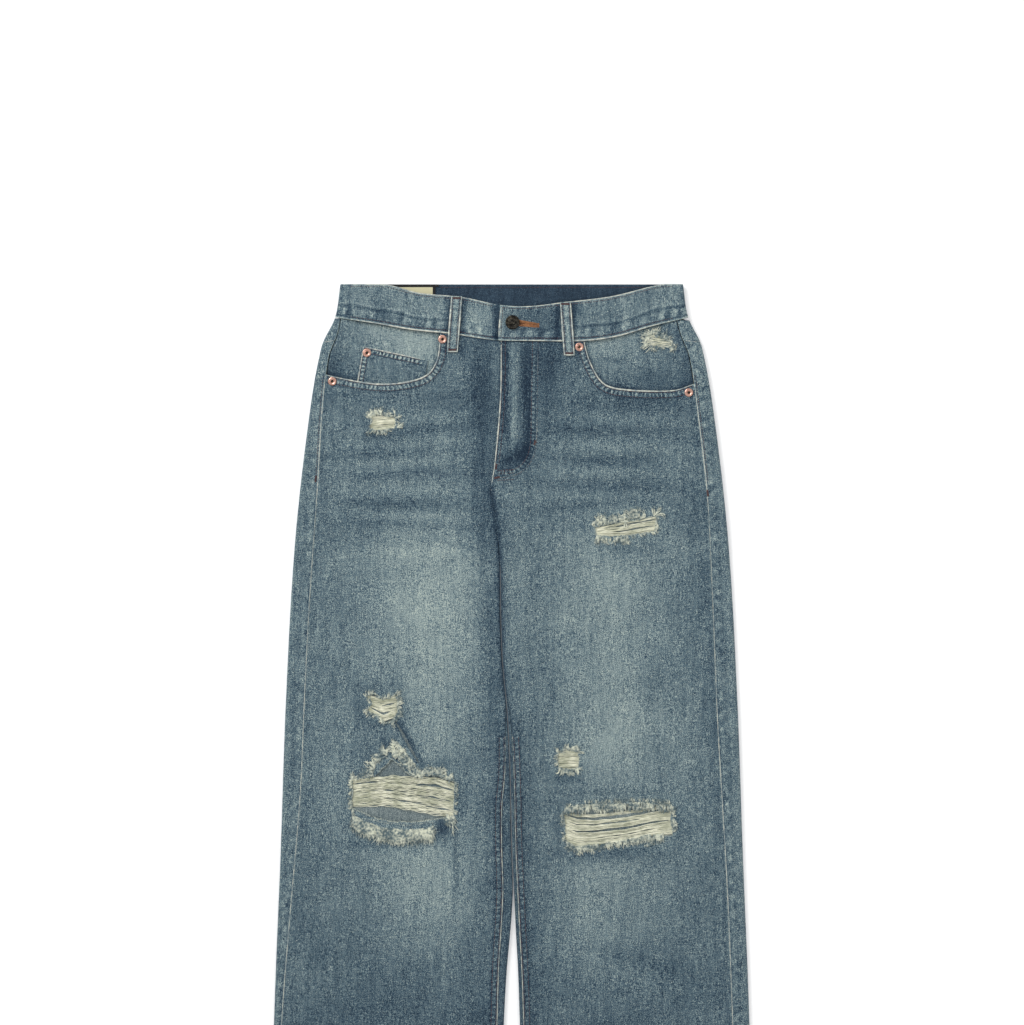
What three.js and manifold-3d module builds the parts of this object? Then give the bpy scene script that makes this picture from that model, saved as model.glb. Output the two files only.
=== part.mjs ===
// Ripped straight-leg jeans, laid flat on their back with the front side up.
// Millimetres: X across the body, Y from the hems (-) to the waist (+), Z up from the surface.
// Left and right are the viewer's. Every cloth piece is a wall that follows one flattened section.
import * as THREE from 'three';
import { mergeVertices } from 'three/addons/utils/BufferGeometryUtils.js';
import Module from 'manifold-3d';

const wasm = await Module();
wasm.setup();

// ---------------------------------------------------------------- driving sizes

const LENGTH = 1040; // outseam, with the waistband
const WAIST = LENGTH / 2;
const HEM = -LENGTH / 2;
const CROTCH = 200; // height of the fork
const CLOTH = 1.2; // one layer of denim
const DOUBLE = 2 * CLOTH; // a turned or folded band
const THREADS = 1; // a sheet of bared weft threads
const GAP = 0.3; // between neighbouring pieces
const LIFT = CLOTH + GAP; // the seat lies on its patch pockets and loops
const FOLD = 3; // radius of the outer folds
const LOW_FOLD = 2.2; // radius of the left leg's inner fold, which the right leg overlaps
const BAND_FOLD = 3.5; // radius of the waistband's folds
const HEM_DEPTH = 15;
const LAP = 11; // how far the left front runs on under the fly
const LAP_SHELF = 16; // both fronts stay level beside it
const LOOP = { width: 12.4, length: 66 };
const SEAT_TOP = 6; // height of the front over the back, at the hips
const LEG_TOP = 3.2; // and half way down the legs
const HEM_TOP = 5.8;

// ---------------------------------------------------------------- small helpers

const clamp = THREE.MathUtils.clamp;
const mix = THREE.MathUtils.lerp;

/** A smooth step from 0 at `start` to 1 at `end`; `end` may be the lower one. */
function ramp(value, start, end) {
  const t = clamp((value - start) / (end - start), 0, 1);
  return t * t * (3 - 2 * t);
}

/** A smooth value through a few [place, value] points, in rising order of place. */
function along(points) {
  const slopes = points.map((_, i) => {
    const before = points[Math.max(i - 1, 0)];
    const after = points[Math.min(i + 1, points.length - 1)];
    return (after[1] - before[1]) / (after[0] - before[0]);
  });
  return (place) => {
    let i = 0;
    while (i < points.length - 2 && place > points[i + 1][0]) i += 1;
    const [from, low] = points[i];
    const [to, high] = points[i + 1];
    const span = to - from;
    const t = clamp((place - from) / span, 0, 1);
    const s = 1 - t;
    return low * s * s * (1 + 2 * t) + high * t * t * (3 - 2 * t)
      + span * t * s * (slopes[i] * s - slopes[i + 1] * t);
  };
}

/** A geometry with its shared points merged and its flat triangles gone. */
function merged(geometry) {
  const bare = new THREE.BufferGeometry();
  bare.setAttribute('position', geometry.getAttribute('position'));
  bare.setIndex(geometry.index);
  const whole = mergeVertices(bare, 1e-4);
  const kept = [];
  for (let i = 0; i < whole.index.count; i += 3) {
    const [a, b, c] = [0, 1, 2].map((k) => whole.index.getX(i + k));
    if (a !== b && b !== c && c !== a) kept.push(a, b, c);
  }
  whole.setIndex(kept);
  return whole;
}

function solidOf(geometry) {
  const whole = merged(geometry);
  return new wasm.Manifold(new wasm.Mesh({
    numProp: 3,
    vertProperties: whole.attributes.position.array,
    triVerts: new Uint32Array(whole.index.array),
  }));
}

function geometryOf(solid) {
  const mesh = solid.getMesh();
  const geometry = new THREE.BufferGeometry();
  geometry.setAttribute('position', new THREE.BufferAttribute(mesh.vertProperties, 3));
  geometry.setIndex(new THREE.BufferAttribute(mesh.triVerts, 1));
  return geometry;
}

/**
 * A closed wall with two skins, each rows by columns of points.
 * `point(row, column, skin)` gives [x, y, z]; a ring joins its last column to its first.
 */
function wall(rows, columns, point, ring = false) {
  const positions = [];
  for (const skin of [0, 1]) {
    for (let r = 0; r < rows; r += 1) {
      for (let c = 0; c < columns; c += 1) positions.push(...point(r, c, skin));
    }
  }
  const at = (r, c, skin) => (skin * rows + r) * columns + (c % columns);
  const index = [];
  const quad = (a, b, c, d) => index.push(a, b, c, a, c, d);
  const spans = ring ? columns : columns - 1;
  for (let r = 0; r < rows - 1; r += 1) {
    for (let c = 0; c < spans; c += 1) {
      quad(at(r, c, 0), at(r + 1, c, 0), at(r + 1, c + 1, 0), at(r, c + 1, 0));
      quad(at(r, c, 1), at(r, c + 1, 1), at(r + 1, c + 1, 1), at(r + 1, c, 1));
    }
  }
  for (let c = 0; c < spans; c += 1) {
    quad(at(0, c, 0), at(0, c + 1, 0), at(0, c + 1, 1), at(0, c, 1));
    quad(at(rows - 1, c + 1, 0), at(rows - 1, c, 0), at(rows - 1, c, 1), at(rows - 1, c + 1, 1));
  }
  for (let r = 0; !ring && r < rows - 1; r += 1) {
    const last = columns - 1;
    quad(at(r + 1, 0, 0), at(r, 0, 0), at(r, 0, 1), at(r + 1, 0, 1));
    quad(at(r, last, 0), at(r + 1, last, 0), at(r + 1, last, 1), at(r, last, 1));
  }
  const geometry = new THREE.BufferGeometry();
  geometry.setAttribute('position', new THREE.Float32BufferAttribute(positions, 3));
  geometry.setIndex(index);
  return facingOut(geometry);
}

/** The same geometry, turned right side out if its volume is negative. */
function facingOut(geometry) {
  const place = geometry.getAttribute('position');
  const corner = (k) => new THREE.Vector3().fromBufferAttribute(place, geometry.index.getX(k));
  let volume = 0;
  for (let i = 0; i < geometry.index.count; i += 3) {
    volume += corner(i).dot(corner(i + 1).cross(corner(i + 2)));
  }
  if (volume < 0) geometry.setIndex(Array.from(geometry.index.array).reverse());
  return geometry;
}

/** A tall upright prism of a flat outline, to cut or to keep cloth with. */
function prism(outline, bottom = -5, top = 25) {
  const shape = new THREE.Shape(outline.map(([x, y]) => new THREE.Vector2(x, y)));
  const geometry = new THREE.ExtrudeGeometry(shape, { depth: top - bottom, bevelEnabled: false });
  geometry.translate(0, 0, bottom);
  return solidOf(geometry);
}

/** The outline moved inwards by `distance` all round. */
function inset(outline, distance) {
  const points = outline.map(([x, y]) => new THREE.Vector2(x, y));
  const inwards = THREE.ShapeUtils.area(points) > 0 ? 1 : -1;
  const unit = (from, to) => to.clone().sub(from).normalize();
  return points.map((point, i) => {
    const before = unit(points.at(i - 1), point);
    const after = unit(point, points[(i + 1) % points.length]);
    const normal = before.clone().add(after).normalize();
    const reach = distance * inwards / Math.max(normal.dot(before), 0.35);
    return [point.x - normal.y * reach, point.y + normal.x * reach];
  });
}

/** A smooth open line through its points. */
function smoothLine(points, pieces) {
  const curve = new THREE.SplineCurve(points.map(([x, y]) => new THREE.Vector2(x, y)));
  return curve.getPoints(pieces).map((point) => [point.x, point.y]);
}

/** A lens-shaped outline between two tips, `rise` above and `fall` below its middle line. */
function lens([x0, y0], [x1, y1], rise, fall, pieces = 5) {
  const side = (height, from, to) => Array.from({ length: pieces }, (_, i) => {
    const t = mix(from, to, i / pieces);
    return [mix(x0, x1, t), mix(y0, y1, t) + height * Math.sin(Math.PI * t) ** 0.7];
  });
  return [...side(-fall, 0, 1), ...side(rise, 1, 0)];
}

// ---------------------------------------------------------------- outline and seams of the garment

/** Half the width of the laid-out garment. */
const halfWidth = along([
  [HEM, 280], [-343, 277], [-135, 269], [36, 263], [207, 253.4], [350, 238], [447, 221.5], [482, 205.5],
  [WAIST, 199.5],
]);

/** How far from the middle each side seam lies, on top of the outer fold. */
const sideSeam = {
  left: along([
    [HEM, 273], [-343, 267.6], [-223, 258.5], [-75, 246], [37, 241], [153, 235], [280, 226], [376, 220],
    [435, 213], [462, 203], [482, 199],
  ]),
  right: along([
    [HEM, 262], [-343, 257], [-191, 251], [-85, 245], [19, 239], [144, 234], [272, 227.5], [365, 217],
    [435, 207], [461, 197], [482, 191],
  ]),
};

/** The line between the legs, and above the fork the edge of the fly. */
const valley = along([
  [HEM, 0.5], [-343, 0.2], [-280, 0.8], [-192, 2], [-133, 0], [-46, -2], [25, -5.5], [80, -10.7],
  [140, -13], [CROTCH, -13.9], [269, -22], [281, -25], [309, -21], [366, -15.5], [404, -13.6], [484, -13.6],
]);

/** Half the parting between the legs. */
const parting = along([[HEM, 16.5], [-343, 9.4], [-280, 7.1], [-231, 4], [-180, 3], [-113, 0.8], [-60, 0.5], [484, 0.5]]);

/** The seam up the middle of the seat. */
const centreBack = along([[CROTCH, -13.9], [300, -6], [420, 0], [484, 0]]);

/** How far the inseam has rolled down round the inner fold, from its top; less than 0 is on top of the leg. */
const inseamRoll = {
  left: along([[HEM, -4], [-343, -4.6], [-211, -8.5], [-93, -8], [-46, -3], [20, 0], [60, 3.2], [CROTCH, 3.2]]),
  right: along([[HEM, -1], [-46, -1], [20, 0], [60, 4.5], [CROTCH, 4.5]]),
};

const yokeSeam = { side: 454, middle: 412 };

/** The front waistband's upper and lower edges dip from the sides to the button. */
const bandUpper = along([
  [-206, WAIST], [-148, WAIST], [-108, 510], [-57, 505], [-13, 496], [20, 494.5], [60, 499], [116, 506],
  [175, WAIST], [206, WAIST],
]);
const bandLower = along([
  [-206, 481.5], [-163, 475], [-116, 467], [-72, 462.5], [-19, 455], [25, 454], [84, 454], [122, 459],
  [163, 471], [206, 481.5],
]);
const BAND_BACK_LOWER = 481.5;

/** The pocket mouths, from the waistband round to the side seam. */
const pocketMouth = {
  left: [[-83, 480], [-83.6, 458], [-88.3, 429], [-105.8, 411], [-151, 404], [-203.5, 412], [-240, 422]],
  right: [[84, 480], [84.9, 452], [94.4, 423], [109.8, 403], [139.6, 397], [185, 396.4], [208.6, 403], [240, 415]],
};

// ---------------------------------------------------------------- the flattened section of one leg

/** Height of the surface under the seat: it rises onto the patch pockets. */
const ground = (y) => LIFT * ramp(y, 185, 235);

/** How nearly the section is a flat, open body (1) or a closed leg (0). */
const openness = (y) => ramp(y, 185, 215);

/** Height of the front over the ground, clear of the folds. */
function flatTop(y) {
  const leg = mix(LEG_TOP, SEAT_TOP, ramp(y, 230, 390));
  return mix(leg, HEM_TOP, ramp(y, -430, -500));
}

class Section {
  constructor(side) {
    this.side = side;
    this.sign = side === 'left' ? -1 : 1;
  }

  innerFold(y) {
    return this.side === 'left' ? mix(LOW_FOLD, FOLD, ramp(y, -100, -400)) : FOLD;
  }

  /** The fold or edge next to the other leg, in front and behind. */
  innerEdge(y) {
    return valley(y) + this.sign * parting(y);
  }

  innerEdgeBehind(y) {
    return y < CROTCH ? this.innerEdge(y) : centreBack(y) + this.sign * GAP / 2;
  }

  outerTangent(y) {
    return this.sign * (halfWidth(y) - FOLD);
  }

  innerTangent(y) {
    return this.innerEdge(y) + this.sign * this.innerFold(y);
  }

  /** Height of the front's outer skin. */
  top(x, y) {
    const shelf = LAP_SHELF * openness(y);
    const outer = this.outerTangent(y);
    const inner = this.innerTangent(y) + this.sign * shelf;
    const across = clamp((x - outer) / (inner - outer), 0, 1);
    const edge = 2 * mix(FOLD, this.innerFold(y), across);
    const plateau = 1 - (2 * across - 1) ** 4;
    return ground(y) + mix(edge, flatTop(y), plateau);
  }

  /** `reach` runs from the outer fold's lower tangent, up round the fold and back over the top. */
  outerPoint(y, reach, depth) {
    const tangent = this.outerTangent(y);
    const half = Math.PI * FOLD;
    if (reach <= half) {
      const angle = Math.max(reach, 0) / FOLD;
      const radius = FOLD - depth;
      return [tangent + this.sign * radius * Math.sin(angle), y, ground(y) + FOLD - radius * Math.cos(angle)];
    }
    const x = tangent - this.sign * (reach - half);
    return [x, y, this.top(x, y) - depth];
  }

  /** `reach` runs inwards over the top, then from the inner fold's upper tangent down round it. */
  innerPoint(y, reach, depth) {
    const tangent = this.innerTangent(y);
    const straight = tangent - this.sign * reach;
    const level = [straight, y, this.top(straight, y) - depth];
    if (reach <= 0) return level;
    return this.blend(level, this.innerArc(y, tangent, reach, depth, 1), openness(y));
  }

  /** The same from below: `reach` runs inwards over the ground, then up round the inner fold. */
  innerPointBehind(y, reach, depth) {
    const tangent = this.innerEdgeBehind(y) + this.sign * this.innerFold(y);
    const straight = tangent - this.sign * Math.min(reach, this.innerFold(y));
    const level = [straight, y, ground(y) + depth];
    if (reach <= 0) return level;
    const full = Math.PI * this.innerFold(y);
    if (reach > full) return this.innerPoint(y, full - reach, depth);
    return this.blend(level, this.innerArc(y, tangent, reach, depth, -1), openness(y));
  }

  innerArc(y, tangent, reach, depth, from) {
    const fold = this.innerFold(y);
    const radius = fold - depth;
    const angle = reach / fold;
    const height = ground(y) + fold + from * radius * Math.cos(angle);
    return [tangent - this.sign * radius * Math.sin(angle), y, height];
  }

  blend(level, arc, flat) {
    return arc.map((value, i) => mix(value, level[i], flat));
  }

  /** Where the front panel ends, as a reach at the inner fold. */
  seamReach(y) {
    return mix(inseamRoll[this.side](y), this.innerFold(y), openness(y));
  }
}

const sections = { left: new Section('left'), right: new Section('right') };

/** The front's outer skin at any place. */
const frontTop = (x, y) => (x < valley(y) ? sections.left : sections.right).top(x, y);

/** A patch of cloth lying on the front's surface, between two depths, kept inside its outline. */
function patch(outline, outer, inner, top = frontTop, step = 28) {
  const xs = outline.map((point) => point[0]);
  const ys = outline.map((point) => point[1]);
  const box = { x: Math.min(...xs) - 1, y: Math.min(...ys) - 1 };
  const size = { x: Math.max(...xs) + 1 - box.x, y: Math.max(...ys) + 1 - box.y };
  const columns = Math.ceil(size.x / step) + 1;
  const rows = Math.ceil(size.y / step) + 1;
  const slab = wall(rows, columns, (r, c, skin) => {
    const x = box.x + size.x * c / (columns - 1);
    const y = box.y + size.y * r / (rows - 1);
    return [x, y, top(x, y) - (skin ? inner : outer)];
  });
  return solidOf(slab).intersect(prism(outline));
}

// ---------------------------------------------------------------- rips in the fronts

const rips = {
  thigh_left: { side: 'left', hole: lens([-166, 359], [-133, 360], 9, 8) },
  thigh_right: {
    side: 'right',
    hole: [[97, 237], [110, 241], [145, 248], [168, 251], [167, 233], [140, 229], [118, 227], [99, 228]],
  },
  knee_left_upper: { side: 'left', hole: lens([-171, 28], [-132, 26], 17, 16) },
  knee_left: {
    side: 'left',
    hole: [
      [-185, -57], [-160, -54], [-139, -33], [-118, -53], [-90, -52], [-67, -60], [-68, -99], [-92, -103],
      [-118, -106], [-143, -105], [-162, -100], [-185, -90],
    ],
  },
  knee_right_upper: { side: 'right', hole: lens([53, -34], [79, -33], 11, 11) },
  knee_right: {
    side: 'right',
    hole: [
      [62, -95], [75, -84], [110, -82], [150, -83], [184, -90], [187, -124], [152, -125], [133, -129],
      [105, -134], [74, -138], [63, -127],
    ],
  },
};
/** A tear with no threads left in it, above the left knee. */
const tear = lens([-139, 18], [-106, -41], 3, 3);

/** Openings between the bared threads and the edge of a rip. */
const slots = {
  knee_left: [
    [[-162, -52], [-139, -30], [-116, -51]],
    [[-176, -90], [-150, -87], [-120, -88], [-90, -96], [-88, -108], [-118, -109], [-150, -108], [-178, -102]],
  ],
  knee_right: [
    lens([64, -99], [180, -93], -1, 6, 4),
    lens([73, -114], [178, -110], 1.5, 1.5, 3),
  ],
};

/** How far the fringe and fuzz reach over the cloth round the rips. */
const fringes = {
  thigh_right_upper: [[90, 239], [95, 262], [130, 266], [168, 263], [169, 253], [145, 250], [110, 243]],
  thigh_right_lower: [[99, 226], [133, 226], [134, 215], [100, 213]],
  knee_left_upper: [[-163, -19], [-142, -10], [-140, -29], [-160, -50]],
  knee_left_middle: [[-134, -22], [-104, -42], [-100, -50], [-117, -51], [-137, -30]],
  knee_left_flap: [
    [-185, -101], [-162, -103], [-143, -108], [-118, -109], [-92, -106], [-90, -127], [-124, -126],
    [-152, -122], [-179, -109],
  ],
  knee_right_upper: [[72, -81], [110, -79], [150, -80], [186, -87], [180, -76], [75, -72]],
  knee_right_lower: [[63, -130], [75, -141], [105, -137], [133, -132], [150, -128], [150, -138], [75, -147]],
};

// ---------------------------------------------------------------- leg panels

const STATIONS = [
  455, 435, 408, 380, 345, 309, 281, 262, 238, 215, CROTCH, 185, 140, 90, 50, 20, -10, -46, -100, -150, -210,
  -280, -343, -430, -470, HEM + HEM_DEPTH + GAP,
];

/** Where a piece sewn into the waistband ends. */
const waistSeam = (x) => bandLower(clamp(x, -206, 206)) - 2 * GAP;
const aboveWaistSeam = prism([
  ...Array.from({ length: 37 }, (_, i) => [-216 + 12 * i, waistSeam(-216 + 12 * i)]), [216, 560], [-216, 560],
]);

function frontPanel(side) {
  const section = sections[side];
  const rows = [490, 472, ...STATIONS];
  const across = 6;
  const panel = wall(rows.length, across + 4, (r, c, skin) => {
    const y = rows[r];
    const depth = skin * CLOTH;
    const lap = side === 'left' ? LAP * ramp(y, 215, 250) : 0;
    const end = section.seamReach(y) + lap - GAP / 2;
    const turn = Math.min(0, end - 4.5);
    if (c > across) return section.innerPoint(y, mix(turn, end, (c - across) / 3), depth);
    const from = section.sign * (sideSeam[side](Math.min(y, 482)) - GAP / 2);
    const to = section.innerTangent(y) - section.sign * turn;
    const x = mix(from, to, c / across);
    return [x, y, section.top(x, y) - depth];
  });
  const mouth = smoothLine(pocketMouth[side], 18);
  const outside = section.sign * 260;
  let solid = solidOf(panel)
    .subtract(prism([...mouth, [outside, 430], [outside, 540], [mouth[0][0], 540]]))
    .subtract(aboveWaistSeam);
  for (const rip of Object.values(rips)) {
    if (rip.side === side) solid = solid.subtract(prism(rip.hole));
  }
  if (side === 'left') solid = solid.subtract(prism(tear));
  return geometryOf(solid);
}

/** Columns of a piece that wraps from the side seam, under the leg, to the inseam or centre back. */
function wrap(side, rows, placeRow) {
  const section = sections[side];
  const under = 3;
  const columns = 5 + under + 5;
  return wall(rows, columns, (r, c, skin) => {
    const y = placeRow(r, c, clamp((c - 5) / under, 0, 1));
    const depth = skin * CLOTH;
    const half = Math.PI * FOLD;
    const seam = sideSeam[side](Math.min(y, 482)) + GAP / 2;
    const onTop = Math.abs(section.outerTangent(y)) - seam;
    if (c === 0) return section.outerPoint(y, half + Math.max(onTop, -4), depth);
    const turned = half + Math.min(onTop - 1, 0);
    if (c <= 5) return section.outerPoint(y, turned * (5 - c) / 4, depth);
    const fold = section.innerFold(y);
    const end = mix(Math.PI * fold - inseamRoll[side](y) - GAP, fold, openness(y));
    const over = Math.min(Math.PI * fold, end - 1.5);
    const start = Math.min(0, over - 6);
    if (c < 5 + under) {
      const from = section.outerTangent(y);
      const to = section.innerEdgeBehind(y) + section.sign * (fold - start);
      return [mix(from, to, (c - 5) / under), y, ground(y) + depth];
    }
    const turn = (c - 5 - under) / 3;
    return section.innerPointBehind(y, turn > 1 ? end : mix(start, over, turn), depth);
  });
}

function backPanel(side) {
  const rows = STATIONS.slice(1);
  return wrap(side, rows.length + 1, (r, c, inwards) => {
    const upper = mix(yokeSeam.side, yokeSeam.middle, inwards) - 1.5 * GAP;
    if (r === 0) return upper;
    return Math.min(rows[r - 1], upper - 5 * r);
  });
}

function yoke(side) {
  const seam = waistSeam(sections[side].sign * sideSeam[side](478)) - GAP;
  return wrap(side, 4, (r, c, inwards) => {
    const upper = c === 0 ? seam : BAND_BACK_LOWER - (c === 1 ? 4 : 2) * GAP;
    return mix(upper, mix(yokeSeam.side, yokeSeam.middle, inwards), r / 3);
  });
}

function hem(side) {
  const section = sections[side];
  const flat = 8;
  const round = 4;
  return wall(2, 2 * (flat + round), (r, c, skin) => {
    const y = HEM + HEM_DEPTH * (1 - r);
    const depth = skin * DOUBLE;
    const outer = section.outerTangent(y);
    const inner = section.innerTangent(y);
    if (c < round) return section.outerPoint(y, Math.PI * FOLD * c / round, depth);
    if (c < round + flat) {
      const x = mix(outer, inner, (c - round) / flat);
      return [x, y, section.top(x, y) - depth];
    }
    if (c < 2 * round + flat) {
      return section.innerPoint(y, Math.PI * section.innerFold(y) * (c - round - flat) / round, depth);
    }
    return [mix(inner, outer, (c - 2 * round - flat) / flat), y, ground(y) + depth];
  }, true);
}

// ---------------------------------------------------------------- waistband, loops and label

const bandEnd = { under: 24, over: -13 }; // the lapped ends

/** Height of the waistband's outer skin in front: the left end dives under the right one. */
function bandTop(x, side) {
  const lap = side === 'left' ? -1.9 * ramp(x, -90, -32) : 0.8 * ramp(x, 90, 25);
  return LIFT + 2 * BAND_FOLD + lap;
}

function waistband() {
  const flat = 9;
  const round = 5;
  const columns = 3 * flat + 2 * round;
  const rows = 3;
  return wall(rows, columns + 1, (r, c, skin) => {
    const down = r / (rows - 1);
    const depth = skin * DOUBLE;
    const level = mix(WAIST, BAND_BACK_LOWER, down);
    const tangentAt = (y) => halfWidth(y) - BAND_FOLD;
    const frontPoint = (side, fraction) => {
      const end = side === 'left' ? bandEnd.under : bandEnd.over - 3 * down;
      const x = mix(sections[side].sign * tangentAt(level), end, fraction);
      return [x, mix(Math.min(bandUpper(x), WAIST), bandLower(x), down), bandTop(x, side) - depth];
    };
    const turn = (sign, angle) => {
      const radius = BAND_FOLD - depth;
      const height = LIFT + BAND_FOLD - radius * Math.cos(angle);
      return [sign * (tangentAt(level) + radius * Math.sin(angle)), level, height];
    };
    if (c <= flat) return frontPoint('left', 1 - c / flat);
    if (c < flat + round) return turn(-1, Math.PI * (1 - (c - flat) / round));
    if (c <= 2 * flat + round) {
      return [tangentAt(level) * (2 * (c - flat - round) / flat - 1), level, LIFT + depth];
    }
    if (c < 2 * flat + 2 * round) return turn(1, Math.PI * (c - 2 * flat - round) / round);
    return frontPoint('right', (c - 2 * flat - 2 * round) / flat);
  });
}

const BUTTON = { x: 1, y: 475.5, radius: 8.3, height: 3 };
const buttonhole = [
  ...Array.from({ length: 9 }, (_, i) => {
    const angle = THREE.MathUtils.degToRad(40 + 35 * i);
    return [BUTTON.x + 3 * Math.cos(angle), BUTTON.y + 3 * Math.sin(angle)];
  }),
  [29.5, 471.4], [29.5, 472.6],
];

function frontLoop(side, upper, lower) {
  const seam = bandLower((upper[0] + lower[0]) / 2);
  const rows = [upper[1] - 1, upper[1] - 20, seam + 1.5, seam - 4, lower[1] + 8, lower[1]];
  return wall(rows.length, 3, (r, c, skin) => {
    const y = rows[r];
    const down = (upper[1] - y) / (upper[1] - lower[1]);
    const x = mix(upper[0], lower[0], down) + (c - 1) * LOOP.width / 2;
    const rest = r < 3 ? bandTop(x, side) : sections[side].top(x, y);
    return [x, y, rest + 2 * GAP + (1 - skin) * CLOTH];
  });
}

function backLoop(x) {
  const y = WAIST - LOOP.length / 2 - 2;
  const shape = new THREE.BoxGeometry(LOOP.width, LOOP.length, CLOTH, 1, 1, 1);
  return shape.translate(x, y, CLOTH / 2);
}

const labelBox = { x: -116, width: 62, band: [WAIST, WAIST - 3], patch: [WAIST - 3 - GAP, 500] };

function label([upper, lower], width) {
  const height = LIFT + DOUBLE + GAP;
  const shape = new THREE.BoxGeometry(width, upper - lower, THREADS);
  return shape.translate(labelBox.x, (upper + lower) / 2, height + THREADS / 2);
}

// ---------------------------------------------------------------- pockets

const FACING_DEPTH = { left: CLOTH + THREADS + 3 * GAP, right: CLOTH + 2 * GAP };

/** The facing sinks from the side seam to under the pocket mouth. */
function facingTop(side) {
  return (x, y) => {
    const level = 1 - ramp(sideSeam[side](Math.min(y, 482)) - Math.abs(x), 0, 26);
    return sections[side].top(x, y) - FACING_DEPTH[side] * (1 - level * ramp(y, 416, 436));
  };
}

function pocketFacing(side) {
  const sign = sections[side].sign;
  const seam = [482, 472, 463, 454, 440, 424, 412, 404].map((y) => [sign * (sideSeam[side](y) - 3 * GAP), y]);
  const mouth = smoothLine(pocketMouth[side], 12).filter(([x]) => Math.abs(x) < 200);
  const tucked = mouth.map(([x, y]) => [x - sign * 9, y - 9]).filter(([, y]) => y < 455).reverse();
  const body = patch([[sign * 76, 490], ...seam, ...tucked], 0, CLOTH, facingTop(side), 15);
  return geometryOf(body.subtract(aboveWaistSeam));
}

const coinPocketOutline = [[-172.7, 447.8], [-97, 431.5], [-104, 398], [-181.5, 396]];

const backPocket = { width: 150, height: 160, middle: 98, top: 408, tilt: THREE.MathUtils.degToRad(4) };

function backPocketOutline(sign) {
  const { width, height, middle, top, tilt } = backPocket;
  const half = width / 2;
  const corners = [[-half, 0], [half, 0], [half - 8, -height + 28], [0, -height], [8 - half, -height + 28]];
  const turned = sign * tilt;
  return corners.map(([x, y]) => [
    sign * middle + x * Math.cos(turned) - y * Math.sin(turned),
    top + x * Math.sin(turned) + y * Math.cos(turned),
  ]);
}

// ---------------------------------------------------------------- metal

/** A turned piece on an upright axis, from its profile of [radius, height] points. */
function turned(profile, segments, x, y, z) {
  const geometry = new THREE.LatheGeometry(profile.map(([r, h]) => new THREE.Vector2(r, h)), segments);
  geometry.rotateX(Math.PI / 2);
  geometry.translate(x, y, z);
  return facingOut(merged(geometry));
}

function tackButton() {
  const underlap = bandTop(BUTTON.x, 'left') + GAP;
  const cap = bandTop(BUTTON.x, 'right') + GAP - underlap;
  const { radius, height } = BUTTON;
  const profile = [
    [0, 0], [2.2, 0], [2.2, cap], [radius - 0.7, cap], [radius, cap + 0.8], [radius - 0.4, cap + 1.8],
    [radius - 1.6, cap + 2.3], [radius - 2.4, cap + 1.9], [3.4, cap + 2.1], [2.4, cap + height - 0.3],
    [0, cap + height - 0.2],
  ];
  return turned(profile, 18, BUTTON.x, BUTTON.y, underlap);
}

const rivets = {
  pocket_left_inner: { at: [-80.6, 456], side: 'left', rest: 0 },
  pocket_left_outer: { at: [-208.8, 407], side: 'left', rest: 0 },
  coin_pocket: { at: [-168.7, 440.4], side: 'left', rest: CLOTH + GAP },
  pocket_right_inner: { at: [78.6, 447], side: 'right', rest: 0 },
  pocket_right_outer: { at: [206, 394], side: 'right', rest: 0 },
};

function rivet({ at: [x, y], side, rest }) {
  const profile = [[0, 0], [5, 0], [5, 0.6], [4.2, 1], [2.2, 1.4], [0, 1.5]];
  return turned(profile, 12, x, y, sections[side].top(x, y) - rest + GAP);
}

// ---------------------------------------------------------------- materials

const finish = (color, roughness, metalness = 0) => (
  new THREE.MeshStandardMaterial({ color, roughness, metalness, flatShading: true })
);
const denim = finish(0x6c8490, 0.92);
const denimDark = finish(0x34506a, 0.92);
const denimPocket = finish(0x566b78, 0.92);
const weft = finish(0xb5b9a6, 0.95);
const fringe = finish(0x9aa9ab, 0.95);
const copper = finish(0xb07a62, 0.45, 0.9);
const bronze = finish(0x33322d, 0.4, 0.9);
const cream = finish(0xb8b7a2, 0.85);
const black = finish(0x1a1b1e, 0.85);

// ---------------------------------------------------------------- the garment

const jeans = new THREE.Group();

function piece(name, geometry, material) {
  const mesh = new THREE.Mesh(geometry, material);
  mesh.name = name;
  jeans.add(mesh);
}

for (const side of ['left', 'right']) {
  piece(`front_panel_${side}`, frontPanel(side), denim);
  piece(`back_panel_${side}`, backPanel(side), denim);
  piece(`yoke_${side}`, yoke(side), denim);
  piece(`pocket_facing_${side}`, pocketFacing(side), denimPocket);
  piece(`hem_${side}`, hem(side), denim);
  const outline = prism(backPocketOutline(sections[side].sign), 0, CLOTH);
  piece(`back_pocket_${side}`, geometryOf(outline), denim);
}

piece('coin_pocket', geometryOf(patch(coinPocketOutline, CLOTH + GAP, CLOTH + GAP + THREADS)), denimPocket);
piece('waistband', geometryOf(solidOf(waistband()).subtract(
  prism(buttonhole, bandTop(0, 'left') + GAP / 2, 20),
)), denimDark);
piece('belt_loop_front_left', frontLoop('left', [-64, 506], [-69, 441]), denim);
piece('belt_loop_front_right', frontLoop('right', [62.5, 499], [67, 437]), denim);
piece('belt_loop_back_left', backLoop(-135), denim);
piece('belt_loop_back_centre', backLoop(0), denim);
piece('belt_loop_back_right', backLoop(135), denim);
piece('label_band', label(labelBox.band, labelBox.width), black);
piece('label_patch', label(labelBox.patch, labelBox.width - 8), cream);
piece('button', tackButton(), bronze);
for (const [name, place] of Object.entries(rivets)) piece(`rivet_${name}`, rivet(place), copper);

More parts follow.
